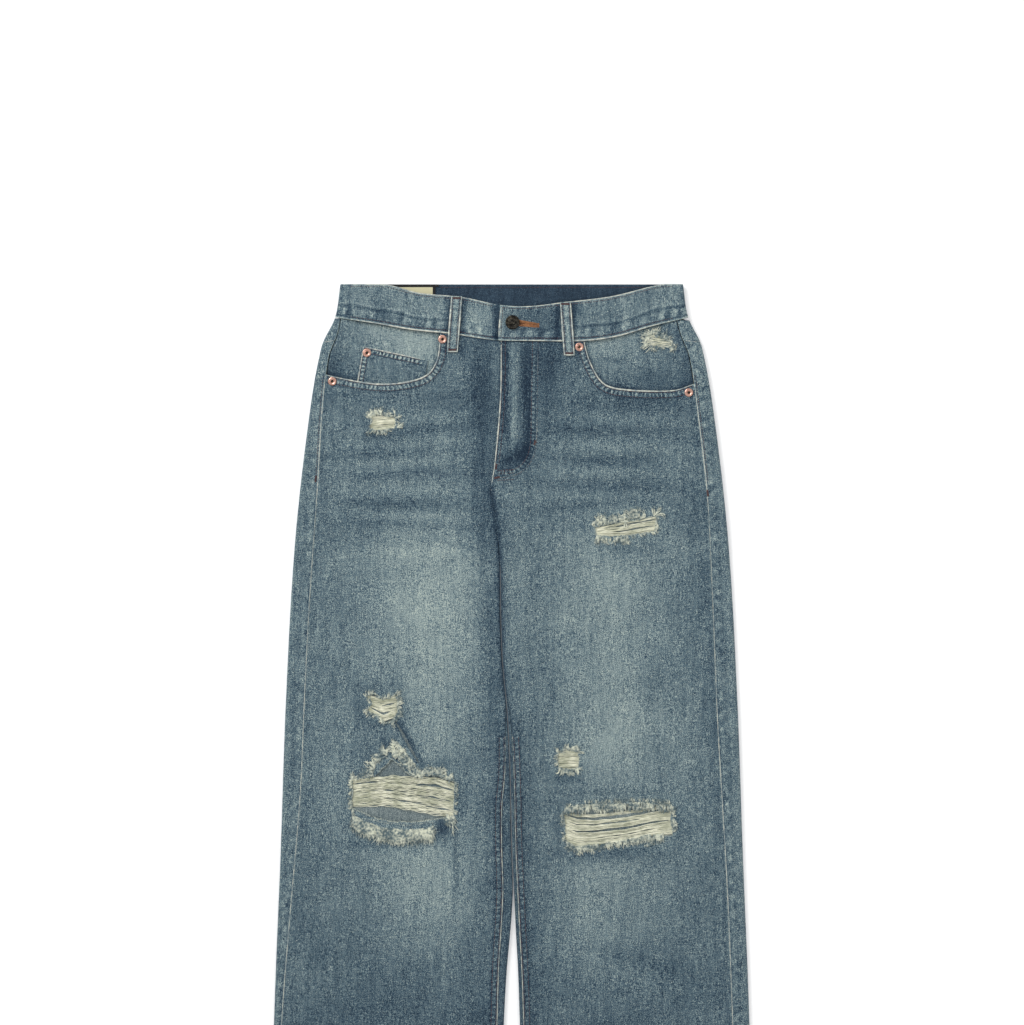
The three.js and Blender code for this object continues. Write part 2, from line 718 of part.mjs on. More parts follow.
for (const [name, { hole }] of Object.entries(rips)) {
  let threads = patch(inset(hole, GAP), 0.1, 0.1 + THREADS);
  for (const slot of slots[name] ?? []) threads = threads.subtract(prism(slot));
  piece(`weft_${name}`, geometryOf(threads), weft);
}
for (const [name, outline] of Object.entries(fringes)) {
  piece(`fray_${name}`, geometryOf(patch(outline, -GAP - THREADS, -GAP)), fringe);
}
const fuzz = lens([152, 454], [189, 452], 14, 13);
piece('fray_pocket_right', geometryOf(patch(fuzz, -2 * GAP - THREADS, -2 * GAP, facingTop('right'), 15)), fringe);

export default jeans;
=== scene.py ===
"""Ripped straight-leg jeans laid flat, front up: cloth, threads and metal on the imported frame."""

import logging
import math
import random
from dataclasses import dataclass, field
from enum import Enum
from typing import Any, Callable, Iterable, Sequence

import bmesh
import bpy
import numpy as np
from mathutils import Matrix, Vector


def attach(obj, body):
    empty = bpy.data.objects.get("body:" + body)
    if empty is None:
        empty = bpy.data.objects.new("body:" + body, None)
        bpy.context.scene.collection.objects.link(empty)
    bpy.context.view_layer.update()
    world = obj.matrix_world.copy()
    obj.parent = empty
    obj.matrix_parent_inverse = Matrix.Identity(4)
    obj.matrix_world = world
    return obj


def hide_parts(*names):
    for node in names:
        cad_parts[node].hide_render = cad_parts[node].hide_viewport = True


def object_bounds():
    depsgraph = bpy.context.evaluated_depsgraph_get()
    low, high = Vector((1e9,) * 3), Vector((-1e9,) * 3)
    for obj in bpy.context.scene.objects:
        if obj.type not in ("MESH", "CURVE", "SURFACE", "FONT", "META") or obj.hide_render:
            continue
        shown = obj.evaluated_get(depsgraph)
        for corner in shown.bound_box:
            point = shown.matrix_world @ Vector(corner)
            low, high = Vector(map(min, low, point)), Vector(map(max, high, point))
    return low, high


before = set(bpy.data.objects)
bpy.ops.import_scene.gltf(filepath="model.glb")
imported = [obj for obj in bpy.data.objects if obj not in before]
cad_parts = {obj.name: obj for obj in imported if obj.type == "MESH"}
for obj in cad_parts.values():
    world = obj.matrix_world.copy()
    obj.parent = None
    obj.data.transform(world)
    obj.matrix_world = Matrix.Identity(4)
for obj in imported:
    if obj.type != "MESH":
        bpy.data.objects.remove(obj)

CAD_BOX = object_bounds()
LOG = logging.getLogger("jeans")

MM = 0.001
Pair = tuple[float, float]
Outline = list[Pair]
Array = np.ndarray


# ---- sizes, in millimetres

WAIST = float(CAD_BOX[1][1]) / MM
HEM = float(CAD_BOX[0][1]) / MM
CROTCH = 200.0
CLOTH = 1.2
DOUBLE = 2 * CLOTH
GAP = 0.3
LIFT = CLOTH + GAP
FOLD = 3.0
LOW_FOLD = 2.2
BAND_FOLD = 3.5
HEM_DEPTH = 15.0
SEAT_TOP = 6.0
LEG_TOP = 3.2
HEM_TOP = 5.8
LAP = 11.0
LAP_SHELF = 16.0
BAND_BACK_LOWER = 481.5
BAND_END = 206.0
SEAM_TOP = 482.0
BUTTON_PLACE = (1.0, 475.5)
STITCH_PITCH = 3.3
STITCH_RADIUS = 0.34
SMOOTH_PIECES = 60
TACK_PITCH = 0.55
SHARP_ANGLE = math.radians(50)


class Side(Enum):
    """The viewer's side of the garment."""

    LEFT = -1
    RIGHT = 1

    @property
    def word(self) -> str:
        """The side's name, as the nodes spell it."""
        return self.name.lower()


# ---- numbers and lines


def mix(low: Any, high: Any, share: Any) -> Any:
    """Between two values, by a share from 0 to 1."""
    return low + (high - low) * share


def ramp(value: Any, start: float, end: float) -> Any:
    """A smooth step from 0 at start to 1 at end; end may be the lower one."""
    t = np.clip((np.asarray(value, float) - start) / (end - start), 0, 1)
    return t * t * (3 - 2 * t)


def bell(value: Any, width: float) -> Any:
    """A soft bump of height 1 about nought."""
    return np.exp(-((np.asarray(value, float) / width) ** 2))


def ripple(place: Any, pitch: float, seed: int) -> Any:
    """An uneven wave from about -1 to 1 along a line, with crests about a pitch apart."""
    place = np.asarray(place, float)
    turn = 2.4 * np.sin(place * 2 * math.pi / (pitch * 5.3) + seed * 1.7)
    swell = 0.75 + 0.25 * np.sin(place * 2 * math.pi / (pitch * 3.1) + seed)
    return np.sin(place * 2 * math.pi / pitch + turn + seed * 2.1) * swell


def mottle(x: Any, y: Any, size: float, seed: int) -> Any:
    """Soft clouds from about -1 to 1 over a surface, a size apart."""
    chance = random.Random(seed)
    total = np.zeros(np.broadcast(x, y).shape)
    for _ in range(7):
        angle = chance.uniform(0, math.pi)
        pitch = size * chance.uniform(0.8, 1.9)
        along = (x * math.cos(angle) + y * math.sin(angle)) * 2 * math.pi / pitch
        total = total + np.sin(along + chance.uniform(0, 6.3))
    return total / 2.6


def xyz(x: Any, y: Any, z: Any) -> Array:
    """Places whose three parts are given apart."""
    return np.stack(np.broadcast_arrays(x, y, z), axis=-1)


class Along:
    """A smooth value through a few places in rising order."""

    def __init__(self, points: Sequence[Pair]) -> None:
        """Keeps the points and the slope at each."""
        self.place = np.array([p[0] for p in points], float)
        self.value = np.array([p[1] for p in points], float)
        before = np.maximum(np.arange(len(points)) - 1, 0)
        after = np.minimum(np.arange(len(points)) + 1, len(points) - 1)
        self.slope = (self.value[after] - self.value[before]) / (self.place[after] - self.place[before])

    def __call__(self, place: Any) -> Any:
        """The value at a place or at an array of places."""
        place = np.asarray(place, float)
        i = np.clip(np.searchsorted(self.place, place) - 1, 0, len(self.place) - 2)
        span = self.place[i + 1] - self.place[i]
        t = np.clip((place - self.place[i]) / span, 0, 1)
        s = 1 - t
        ends = self.value[i] * s * s * (1 + 2 * t) + self.value[i + 1] * t * t * (3 - 2 * t)
        return ends + span * t * s * (self.slope[i] * s - self.slope[i + 1] * t)


class Path:
    """A line on the cloth, measured along and across."""

    def __init__(self, points: Sequence[Pair]) -> None:
        """Keeps the points and the length up to each."""
        self.points = np.array(points, float)
        self.steps = np.diff(self.points, axis=0)
        self.lengths = np.linalg.norm(self.steps, axis=1)
        self.reach = np.concatenate([[0], np.cumsum(self.lengths)])
        self.length = float(self.reach[-1])

    @classmethod
    def smooth(cls, points: Sequence[Pair]) -> "Path":
        """A smooth line through its points."""
        p = np.array(points, float)
        t = np.linspace(0, len(p) - 1, SMOOTH_PIECES + 1)
        i = np.minimum(t.astype(int), len(p) - 2)
        w = (t - i)[:, None]
        ends = np.vstack([p[0], p, p[-1]])
        a, b, c, d = (ends[i + k] for k in range(4))
        m0 = (c - a) / 2
        m1 = (d - b) / 2
        curve = (2 * b - 2 * c + m0 + m1) * w**3 + (3 * c - 3 * b - 2 * m0 - m1) * w**2 + m0 * w + b
        return cls(curve)

    def at(self, place: Any, across: Any = 0.0) -> tuple[Array, Array]:
        """Where a point lies.

        Args:
            place: Its way along the line.
            across: How far it is to the left of the line.

        Returns:
            Its x and y.
        """
        place = np.clip(np.asarray(place, float), 0, self.length)
        x, y = self._spot(place)
        ahead, behind = self._spot(place + 1.5), self._spot(place - 1.5)
        dx, dy = ahead[0] - behind[0], ahead[1] - behind[1]
        size = np.maximum(np.hypot(dx, dy), 1e-6)
        return x - dy / size * across, y + dx / size * across

    def _spot(self, place: Any) -> tuple[Array, ...]:
        """The x and y of a place on the line."""
        return tuple(np.interp(place, self.reach, column) for column in self.points.T)

    def near(self, x: Array, y: Array) -> tuple[Array, Array, Array]:
        """The nearest place on the line to each point.

        Args:
            x: The points' x.
            y: Their y.

        Returns:
            The distance, the way along the line, and 1 where the point is left of it or -1.
        """
        best = np.full(np.shape(x), 1e9)
        along = np.zeros(np.shape(x))
        side = np.ones(np.shape(x))
        for (px, py), (sx, sy), length, start in zip(self.points, self.steps, self.lengths, self.reach):
            if length < 1e-6:
                continue
            t = np.clip(((x - px) * sx + (y - py) * sy) / length**2, 0, 1)
            gap = np.hypot(x - px - sx * t, y - py - sy * t)
            closer = gap < best
            best = np.where(closer, gap, best)
            along = np.where(closer, start + t * length, along)
            side = np.where(closer, np.sign(sx * (y - py) - sy * (x - px)), side)
        return best, along, side


def closed(outline: Sequence[Pair]) -> tuple[Pair, ...]:
    """An outline that comes back to its start."""
    return (*outline, outline[0])


def lens(start: Pair, end: Pair, rise: float, fall: float, pieces: int = 6) -> Outline:
    """A lens-shaped outline between two tips, with a rise above and a fall below its middle line."""
    points = []
    for height, forwards in ((-fall, True), (rise, False)):
        for i in range(pieces):
            t = i / pieces if forwards else 1 - i / pieces
            bulge = height * math.sin(math.pi * t) ** 0.7
            points.append((mix(start[0], end[0], t), mix(start[1], end[1], t) + bulge))
    return points


def ragged(outline: Outline, step: float, bite: float, seed: int) -> Outline:
    """An outline with a torn edge.

    Args:
        outline: The clean outline.
        step: How far apart the points of the torn one are.
        bite: How far the tear wanders off the clean line.
        seed: For the chance.

    Returns:
        The torn outline.
    """
    chance = random.Random(seed)
    path = Path(closed(outline))
    count = max(8, int(path.length / step))
    torn = []
    for i in range(count):
        x, y = path.at(path.length * i / count, chance.uniform(-bite, bite))
        torn.append((float(x), float(y)))
    return torn


def crossings(outline: Outline, y: float) -> list[float]:
    """Where a level line crosses an outline, in rising x."""
    found = []
    for (ax, ay), (bx, by) in zip(outline, closed(outline)[1:]):
        if (ay > y) != (by > y):
            found.append(ax + (bx - ax) * (y - ay) / (by - ay))
    return sorted(found)


# ---- the cut of the garment

HALF_WIDTH = Along([
    (HEM, 280), (-343, 277), (-135, 269), (36, 263), (207, 253.4), (350, 238), (447, 221.5), (482, 205.5),
    (WAIST, 199.5),
])
SIDE_SEAM = {
    Side.LEFT: Along([
        (HEM, 273), (-343, 267.6), (-223, 258.5), (-75, 246), (37, 241), (153, 235), (280, 226), (376, 220),
        (435, 213), (462, 203), (482, 199),
    ]),
    Side.RIGHT: Along([
        (HEM, 262), (-343, 257), (-191, 251), (-85, 245), (19, 239), (144, 234), (272, 227.5), (365, 217),
        (435, 207), (461, 197), (482, 191),
    ]),
}
VALLEY = Along([
    (HEM, 0.5), (-343, 0.2), (-280, 0.8), (-192, 2), (-133, 0), (-46, -2), (25, -5.5), (80, -10.7),
    (140, -13), (CROTCH, -13.9), (269, -22), (281, -25), (309, -21), (366, -15.5), (404, -13.6),
    (484, -13.6),
])
PARTING = Along([
    (HEM, 16.5), (-343, 9.4), (-280, 6.6), (-231, 3), (-200, 1.2), (-180, 0.4), (-113, 0.2), (484, 0.15),
])
CENTRE_BACK = Along([(CROTCH, -13.9), (300, -6), (420, 0), (484, 0)])
INSEAM_ROLL = {
    Side.LEFT: Along([
        (HEM, -4), (-343, -4.6), (-211, -8.5), (-93, -8), (-46, -3), (20, 0), (60, 3.2), (CROTCH, 3.2),
    ]),
    Side.RIGHT: Along([(HEM, -1), (-46, -1), (20, 0), (60, 4.5), (CROTCH, 4.5)]),
}
YOKE_SEAM = (454.0, 412.0)
BAND_UPPER = Along([
    (-206, WAIST), (-148, WAIST), (-108, 510), (-57, 505), (-13, 496), (20, 494.5), (60, 499), (116, 506),
    (175, WAIST), (206, WAIST),
])
BAND_LOWER = Along([
    (-206, 481.5), (-163, 475), (-116, 467), (-72, 462.5), (-19, 455), (25, 454), (84, 454), (122, 459),
    (163, 471), (206, 481.5),
])
MOUTH = {
    Side.LEFT: Path.smooth([
        (-83, 480), (-83.6, 458), (-88.3, 429), (-105.8, 411), (-151, 404), (-203.5, 412), (-240, 422),
    ]),
    Side.RIGHT: Path.smooth([
        (84, 480), (84.9, 452), (94.4, 423), (109.8, 403), (139.6, 397), (185, 396.4), (208.6, 403),
        (240, 415),
    ]),
}
J_STITCH = Path.smooth([
    (30.5, 453), (30, 415), (29.4, 379), (28.8, 345), (26.5, 325), (19, 309), (6, 299), (-12, 295),
    (-20, 295),
])


def seam_x(side: Side, y: Any) -> Any:
    """How far out the side seam lies, up to where the waistband covers it."""
    return SIDE_SEAM[side](np.minimum(y, SEAM_TOP))


def ground(y: Any) -> Any:
    """Height of what the garment lies on: the seat rises onto its patch pockets."""
    return LIFT * ramp(y, 185, 235)


def openness(y: Any) -> Any:
    """How nearly the section is one open body (1) or two closed legs (0)."""
    return ramp(y, 185, 215)


def flat_top(y: Any) -> Any:
    """Height of the front over the ground, clear of the folds."""
    leg = mix(LEG_TOP, SEAT_TOP, ramp(y, 230, 390))
    return mix(leg, HEM_TOP, ramp(y, -430, -500))


# ---- creases, worn fades and painted shade


@dataclass(frozen=True)
class Crease:
    """A soft ridge, or a trough where its height is less than nought."""

    start: Pair
    end: Pair
    width: float
    height: float

    def of(self, x: Array, y: Array) -> Array:
        """Its height at each point."""
        dx = self.end[0] - self.start[0]
        dy = self.end[1] - self.start[1]
        length = math.hypot(dx, dy)
        t = ((x - self.start[0]) * dx + (y - self.start[1]) * dy) / length**2
        held = np.clip(t, 0, 1)
        gap = np.hypot(x - self.start[0] - dx * held, y - self.start[1] - dy * held)
        taper = np.sin(np.pi * np.clip(0.06 + 0.88 * held, 0, 1)) ** 0.6
        return self.height * taper * bell(gap, self.width)


@dataclass(frozen=True)
class Fade:
    """An oval patch that is paler than the rest, or darker where its strength is less than nought: washed-out
    fades and whiskers, and painted shade and shadows.
    """

    centre: Pair
    radii: Pair
    strength: float
    lean: float = 0.0

    def of(self, x: Array, y: Array) -> Array:
        """Its strength at each point."""
        angle = math.radians(self.lean)
        dx = x - self.centre[0]
        dy = y - self.centre[1]
        u = (dx * math.cos(angle) + dy * math.sin(angle)) / self.radii[0]
        v = (dy * math.cos(angle) - dx * math.sin(angle)) / self.radii[1]
        return self.strength * np.exp(-(u * u + v * v))


# start, end, width, height
CREASES = [Crease(*row) for row in (
    ((-205, 352), (-90, 340), 7, 0.9), ((-210, 326), (-70, 318), 8, 0.8), ((-212, 298), (-64, 292), 7, 0.9),
    ((-212, 270), (-60, 268), 8, 0.8), ((-205, 240), (-75, 243), 8, 0.6), ((60, 352), (200, 356), 7, 0.9),
    ((52, 326), (205, 332), 8, 0.8), ((48, 298), (205, 304), 7, 0.9), ((40, 268), (130, 272), 8, 0.7),
    ((-40, 330), (-60, 230), 10, 1.0), ((-30, 230), (-22, 60), 7, -0.9), ((14, 200), (16, 60), 9, 0.5),
    ((-138, 20), (-104, -44), 3.5, -1.2), ((-128, 20), (-94, -44), 7, 1.0),
    ((-69, -104), (-67, -195), 4, 1.0), ((-60, -108), (-58, -180), 6, -0.6),
    ((-190, -30), (-160, -46), 8, 0.9), ((-200, -140), (-110, -150), 9, 0.9),
    ((60, -68), (190, -66), 6, 0.8), ((70, -150), (180, -146), 7, 1.0), ((60, -280), (150, -262), 8, 0.8),
    ((40, -300), (110, -310), 9, 0.6), ((-180, -240), (-90, -225), 9, 0.6),
    ((-230, -400), (-60, -380), 14, 0.9), ((50, -420), (230, -395), 14, 0.9),
    ((3, 450), (3, 320), 3.5, 0.9), ((14, 440), (16, 340), 5, -0.6),
)]

# centre, radii, strength, lean. The pale patches and the whisker bands are washed-out fades.
# Some dark patches are painted shade and shadows: beside the front belt loops (x -78, -58, 57, 77),
# in the dip left of the fly (x -40 to -22), round the rips under their fringes, along the left knee's
# tear (near -120, -12), in the notch beside the left knee's flap (-81, -113), and under the flap
# and under the right knee's lower fringe.
FADES_AND_SHADES = [Fade(*row) for row in (
    ((-95, 146), (66, 112), 0.31, 4), ((112, 155), (68, 110), 0.24, -4), ((-100, -168), (60, 90), 0.26),
    ((100, -190), (70, 100), 0.19), ((-90, 0), (40, 70), 0.13), ((118, -4), (58, 62), 0.24),
    ((-120, 266), (70, 26), -0.05), ((110, 285), (70, 26), -0.03), ((-150, 440), (60, 60), 0.05),
    ((-205, 60), (50, 200), 0.05), ((-215, -60), (40, 90), 0.06), ((210, -60), (45, 90), 0.07),
    ((-78, 446), (3.5, 12), -0.22), ((-58, 446), (4.5, 14), -0.22), ((57, 443), (3.5, 12), -0.20),
    ((77, 440), (3.5, 10), -0.20), ((-128, 388), (110, 12), -0.09), ((140, 380), (80, 13), -0.12),
    ((120, 350), (110, 50), -0.03), ((5, 345), (4, 26), 0.12), ((3, 405), (3.2, 44), 0.26),
    ((9, 380), (22, 70), -0.10), ((15, 400), (5, 40), -0.22), ((13, 326), (12, 16), -0.30),
    ((-6, 312), (12, 9), -0.16), ((-34, 395), (15, 70), -0.24), ((-32, 275), (14, 65), -0.16),
    ((-22, 110), (13, 130), -0.16), ((10, 130), (10, 100), 0.05), ((42, 400), (9, 60), -0.10),
    ((-8, -180), (30, 170), -0.10), ((12, -180), (30, 170), -0.08), ((0, -400), (330, 130), -0.12),
    ((-150, -305), (70, 60), -0.07), ((-240, 100), (22, 300), -0.04), ((240, 100), (22, 300), -0.06),
    ((110, -143), (66, 8), -0.24), ((-81, -113), (8, 13), -0.55), ((-150, -133), (60, 6), -0.14),
    ((-185, -75), (7, 40), -0.10), ((64, -20), (26, 7), -0.10), ((66, -56), (18, 6), -0.16),
    ((130, 268), (44, 7), -0.12), ((124, 212), (30, 6), -0.12), ((-152, 50), (26, 7), -0.14),
    ((-176, 24), (7, 18), -0.12), ((-150, 6), (20, 5), -0.12), ((-168, -30), (6, 18), -0.14),
    ((-136, -26), (34, 5), -0.22, -50), ((-90, -38), (34, 5), -0.10), ((-60, -80), (4, 24), -0.18),
    ((-140, 342), (30, 6), -0.12), ((120, -72), (70, 4), -0.10), ((193, -104), (5, 20), -0.16),
    ((54, -110), (5, 22), -0.16), ((-95, 366), (55, 6), 0.08, 3), ((-95, 352), (48, 5), -0.12, 3),
    ((-120, 337), (80, 6), 0.10, 3), ((-140, 323), (70, 5), -0.08, 3), ((-110, 314), (80, 5), 0.09, 2),
    ((-130, 299), (70, 6), -0.13, 1), ((-125, 281), (80, 6), 0.10), ((-120, 264), (85, 6), -0.13, -2),
    ((-125, 252), (80, 4), 0.07, -2), ((-115, 240), (85, 5), -0.13, -3), ((-60, 300), (5, 60), -0.05, 6),
    ((130, 365), (75, 6), 0.09, -3), ((112, 349), (70, 6), -0.12, -3), ((130, 331), (80, 6), 0.11, -3),
    ((100, 315), (60, 6), -0.13, -3), ((120, 301), (80, 5), 0.10, -2), ((110, 285), (75, 6), -0.12, -2),
    ((90, 272), (60, 5), 0.08, -2), ((70, 260), (45, 5), -0.10, 6), ((60, 240), (50, 8), -0.06, 8),
    ((48, 428), (22, 26), -0.12), ((22, 436), (16, 18), -0.14), ((-7, 440), (4, 18), -0.16),
    ((-40, 420), (9, 40), -0.10, 12), ((-8, 385), (4, 70), -0.22), ((17, 360), (5, 60), -0.16),
    ((22, 345), (6, 24), -0.14), ((-3, 317), (14, 5), -0.20), ((10, 345), (2.5, 22), 0.14),
    ((7, 432), (2.4, 20), 0.16), ((-110, 208), (75, 8), 0.10), ((-7, 418), (1.8, 34), -0.14),
    ((18, 410), (2.6, 44), -0.13), ((11, 322), (8, 6), -0.16), ((-9, 333), (3, 12), 0.14),
    ((-119, -10), (3.0, 34), -0.3, 29), ((-66, -150), (2.5, 45), -0.18),
    ((150, -268), (60, 10), -0.12, -16), ((12, 376), (2.6, 24), 0.14), ((1, 352), (2.6, 18), 0.16),
    ((-38, 300), (12, 60), -0.07), ((46, 425), (12, 34), -0.12), ((-122, -12), (32, 3.4), -0.22, -60),
)]


def front_wear_and_shade(x: Array, y: Array) -> Array:
    """How pale the washed front is at each point, about a half, with painted shade and shadows in it and a
    painted dark line down the parting between the legs.
    """
    tone = np.full(np.shape(x), 0.45)
    for patch in FADES_AND_SHADES:
        tone = tone + patch.of(x, y)
    # Painted shade: a dark line down the parting between the legs, from about the knees up to the crotch.
    valley_shade = bell(x - VALLEY(y), 3.0) * ramp(y, 292, 276) * ramp(y, -60, 0)
    return tone - 0.34 * valley_shade + 0.022 * mottle(x, y, 46, 5) + 0.018 * mottle(x, y * 0.25, 16, 9)


def front_relief(x: Array, y: Array) -> Array:
    """Height of the creases and seams at each point."""
    height = 0.28 * mottle(x, y, 64, 3) + 0.12 * mottle(x, y, 23, 4)
    for crease in CREASES:
        height = height + crease.of(x, y)
    height = np.maximum(height, -0.55)
    for seam in SEAMS:
        height = height + seam.relief(x, y)
    return height


@dataclass(frozen=True)
class Seam:
    """A doubled strip of cloth along a line: a ridge that puckers, pale on its crests and on its edge."""

    path: Path
    side: int
    width: float = 9.0
    ridge: float = 0.45
    pucker: float = 0.3
    pitch: float = 8.5
    seed: int = 1
    rope: float = 0.12
    edge: float = 0.22
    groove: float = 0.06
    knot: float = 0.0
    strength: float = 0.0

    def strip(self, x: Array, y: Array) -> tuple[Array, Array]:
        """How far each point is from the line, on the doubled side, and how far along it is."""
        low = self.path.points.min(axis=0) - 16
        high = self.path.points.max(axis=0) + 16
        x, y = np.broadcast_arrays(np.asarray(x, float), np.asarray(y, float))
        close = (x > low[0]) & (x < high[0]) & (y > low[1]) & (y < high[1])
        gap = np.full(x.shape, 99.0)
        place = np.zeros(x.shape)
        if close.any():
            near, along, side = self.path.near(x[close], y[close])
            gap[close] = near * side * self.side
            place[close] = along
        ends = (place < 0.01) | (place > self.path.length - 0.01)
        return np.where(ends & (np.abs(gap) > 2), 99.0, gap), place

    def relief(self, x: Array, y: Array) -> Array:
        """Its height at each point."""
        gap, place = self.strip(x, y)
        body = ramp(gap, self.width + 2.5, self.width - 0.5) * ramp(gap, -0.4, 0.6)
        hump = np.sin(np.pi * np.clip(gap / self.width, 0, 1))
        return body * (self.ridge + self.pucker * hump * ripple(place, self.pitch, self.seed))

    def wear_and_shade(self, x: Array, y: Array) -> Array:
        """How much paler it makes each point, or darker where its numbers are less than nought; along the
        waist seam that dark edge is painted shadow under the waistband.
        """
        gap, place = self.strip(x, y)
        hump = ramp(gap, self.width + 3.5, self.width - 2) * ramp(gap, 0.2, 2.4)
        knots = ripple(place + gap * 0.5, self.pitch, self.seed)
        knots = np.sign(knots) * np.abs(knots) ** 0.8
        wander = 1 + 0.5 * ripple(place, self.pitch * 3.7, self.seed + 3)
        crest = self.edge * bell(gap - 0.4, 1.3) * (1 + 0.35 * ripple(place, 5.0, self.seed + 7))
        foot = -self.groove * (bell(gap - self.width, 1.6) + bell(gap - 2.6, 1.0))
        return hump * self.rope * knots * wander + crest + foot


# ---- the flattened section


class Leg:
    """The section of one leg and its half of the body, flattened: lower layer, two folds and upper layer."""

    def __init__(self, side: Side) -> None:
        """Keeps the side."""
        self.side = side
        self.sign = side.value

    def inner_fold(self, y: Any) -> Any:
        """Radius of the fold next to the other leg."""
        if self.side is Side.LEFT:
            return mix(LOW_FOLD, FOLD, ramp(y, -100, -400))
        return np.full(np.shape(y), FOLD)

    def inner_edge(self, y: Any) -> Any:
        """Where the front ends in the middle."""
        return VALLEY(y) + self.sign * PARTING(y)

    def inner_edge_behind(self, y: Any) -> Any:
        """Where the back ends in the middle."""
        y = np.asarray(y, float)
        return np.where(y < CROTCH, self.inner_edge(y), CENTRE_BACK(y) + self.sign * GAP / 2)

    def outer_tangent(self, y: Any) -> Any:
        """Where the outer fold meets the flat."""
        return self.sign * (HALF_WIDTH(y) - FOLD)

    def inner_tangent(self, y: Any) -> Any:
        """Where the inner fold meets the top."""
        return self.inner_edge(y) + self.sign * self.inner_fold(y)

    def top(self, x: Any, y: Any, relief: bool = True) -> Any:
        """Height of the front's outer skin.

        Args:
            x: Where.
            y: Where.
            relief: With its creases.

        Returns:
            The height over the surface.
        """
        outer = self.outer_tangent(y)
        inner = self.inner_tangent(y) + self.sign * LAP_SHELF * openness(y)
        across = np.clip((x - outer) / (inner - outer), 0, 1)
        edge = 2 * mix(FOLD, self.inner_fold(y), across)
        plateau = 1 - (2 * across - 1) ** 4
        height = ground(y) + mix(edge, flat_top(y), plateau)
        return height + self.relief(x, y) if relief else height

    def relief(self, x: Any, y: Any) -> Any:
        """Height of the creases and seams, which die out at the folds and over the lap of the fly."""
        x = np.asarray(x, float)
        y = np.asarray(y, float)
        inside = self.sign * (x - self.inner_tangent(y))
        shelf = LAP_SHELF * openness(y)
        left = self.side is Side.LEFT
        outer = ramp(np.abs(x - self.outer_tangent(y)), 1, 12)
        inner = ramp(inside - (shelf if left else 0), 0, 12 if left else 6)
        ends = ramp(y, 486, 460) * ramp(y, HEM, HEM + 26)
        height = front_relief(x, y)
        over_lap = 0.0 if left else ramp(inside, shelf + 8, shelf) * openness(y)
        height = mix(height, np.maximum(height, 0), over_lap)
        return outer * inner * ends * height

    def outer_point(self, y: Any, reach: Any, depth: Any) -> Array:
        """A point by its reach from the outer fold's lower tangent, up round the fold and over the top."""
        half = math.pi * FOLD
        tangent = self.outer_tangent(y)
        angle = np.clip(reach, 0, half) / FOLD
        radius = FOLD - depth
        round_x = tangent + self.sign * radius * np.sin(angle)
        round_z = ground(y) + FOLD - radius * np.cos(angle)
        flat_x = tangent - self.sign * (reach - half)
        on_top = np.asarray(reach) > half
        under_x = tangent + self.sign * np.minimum(reach, 0)
        x = np.where(on_top, flat_x, np.where(np.asarray(reach) < 0, under_x, round_x))
        z = np.where(on_top, self.top(flat_x, y) - depth, round_z)
        return xyz(x, y, z)

    def inner_arc(self, y: Any, tangent: Any, reach: Any, depth: Any, start: int) -> tuple[Any, Any]:
        """A point round the inner fold, from its top (1) or its bottom (-1)."""
        fold = self.inner_fold(y)
        angle = reach / fold
        radius = fold - depth
        return tangent - self.sign * radius * np.sin(angle), ground(y) + fold + start * radius * np.cos(angle)

    def inner_point(self, y: Any, reach: Any, depth: Any) -> Array:
        """A point by its reach over the top's inner tangent, then down round the fold."""
        tangent = self.inner_tangent(y)
        flat_x = tangent - self.sign * reach
        flat_z = self.top(flat_x, y) - depth
        arc_x, arc_z = self.inner_arc(y, tangent, np.maximum(reach, 0), depth, 1)
        level = np.where(np.asarray(reach) <= 0, 1.0, openness(y))
        return xyz(mix(arc_x, flat_x, level), y, mix(arc_z, flat_z, level))

    def inner_point_behind(self, y: Any, reach: Any, depth: Any) -> Array:
        """A point by its reach over the ground's inner tangent, then up round the fold and onto the top."""
        fold = self.inner_fold(y)
        tangent = self.inner_edge_behind(y) + self.sign * fold
        flat_x = tangent - self.sign * np.minimum(reach, fold)
        flat_z = ground(y) + depth
        arc_x, arc_z = self.inner_arc(y, tangent, np.maximum(reach, 0), depth, -1)
        level = np.where(np.asarray(reach) <= 0, 1.0, openness(y))
        under = xyz(mix(arc_x, flat_x, level), y, mix(arc_z, flat_z, level))
        over = self.inner_point(y, math.pi * fold - reach, depth)
        return np.where((np.asarray(reach) > math.pi * fold)[..., None], over, under)

    def seam_reach(self, y: Any) -> Any:
        """Where the front ends at the inner fold."""
        return mix(INSEAM_ROLL[self.side](y), self.inner_fold(y), openness(y))


LEGS = {side: Leg(side) for side in Side}


def front_top(x: Any, y: Any) -> Any:
    """Height of the front's outer skin at any place."""
    return np.where(x < VALLEY(y), LEGS[Side.LEFT].top(x, y), LEGS[Side.RIGHT].top(x, y))


def line_of(values: Callable[[Any], Any], low: float, high: float, count: int, upright: bool = True) -> Path:
    """A line of a formula: x by y where it is upright, and y by x where it isn't."""
    places = np.linspace(low, high, count)
    found = values(places) + 0 * places
    return Path(np.stack([found, places] if upright else [places, found], axis=1))


def side_seam(side: Side) -> Path:
    """The side seam, from the waistband down to the hem."""
    return line_of(lambda y: side.value * seam_x(side, y), 481, HEM + HEM_DEPTH, 120)


def inseam(side: Side) -> Path:
    """The inseam where it lies on top of the leg, from the thigh down to the hem."""
    leg = LEGS[side]
    return line_of(
        lambda y: leg.inner_tangent(y) - leg.sign * np.minimum(INSEAM_ROLL[side](y), 0),
        15, HEM + HEM_DEPTH, 80,
    )


SIDE_LINE = {side: side_seam(side) for side in Side}
INSEAM_LINE = {side: inseam(side) for side in Side}
FLY_LINE = line_of(lambda y: VALLEY(y) + 0.5, 455, 203, 60)
WAIST_LINE = line_of(BAND_LOWER, -BAND_END, BAND_END, 120, False)

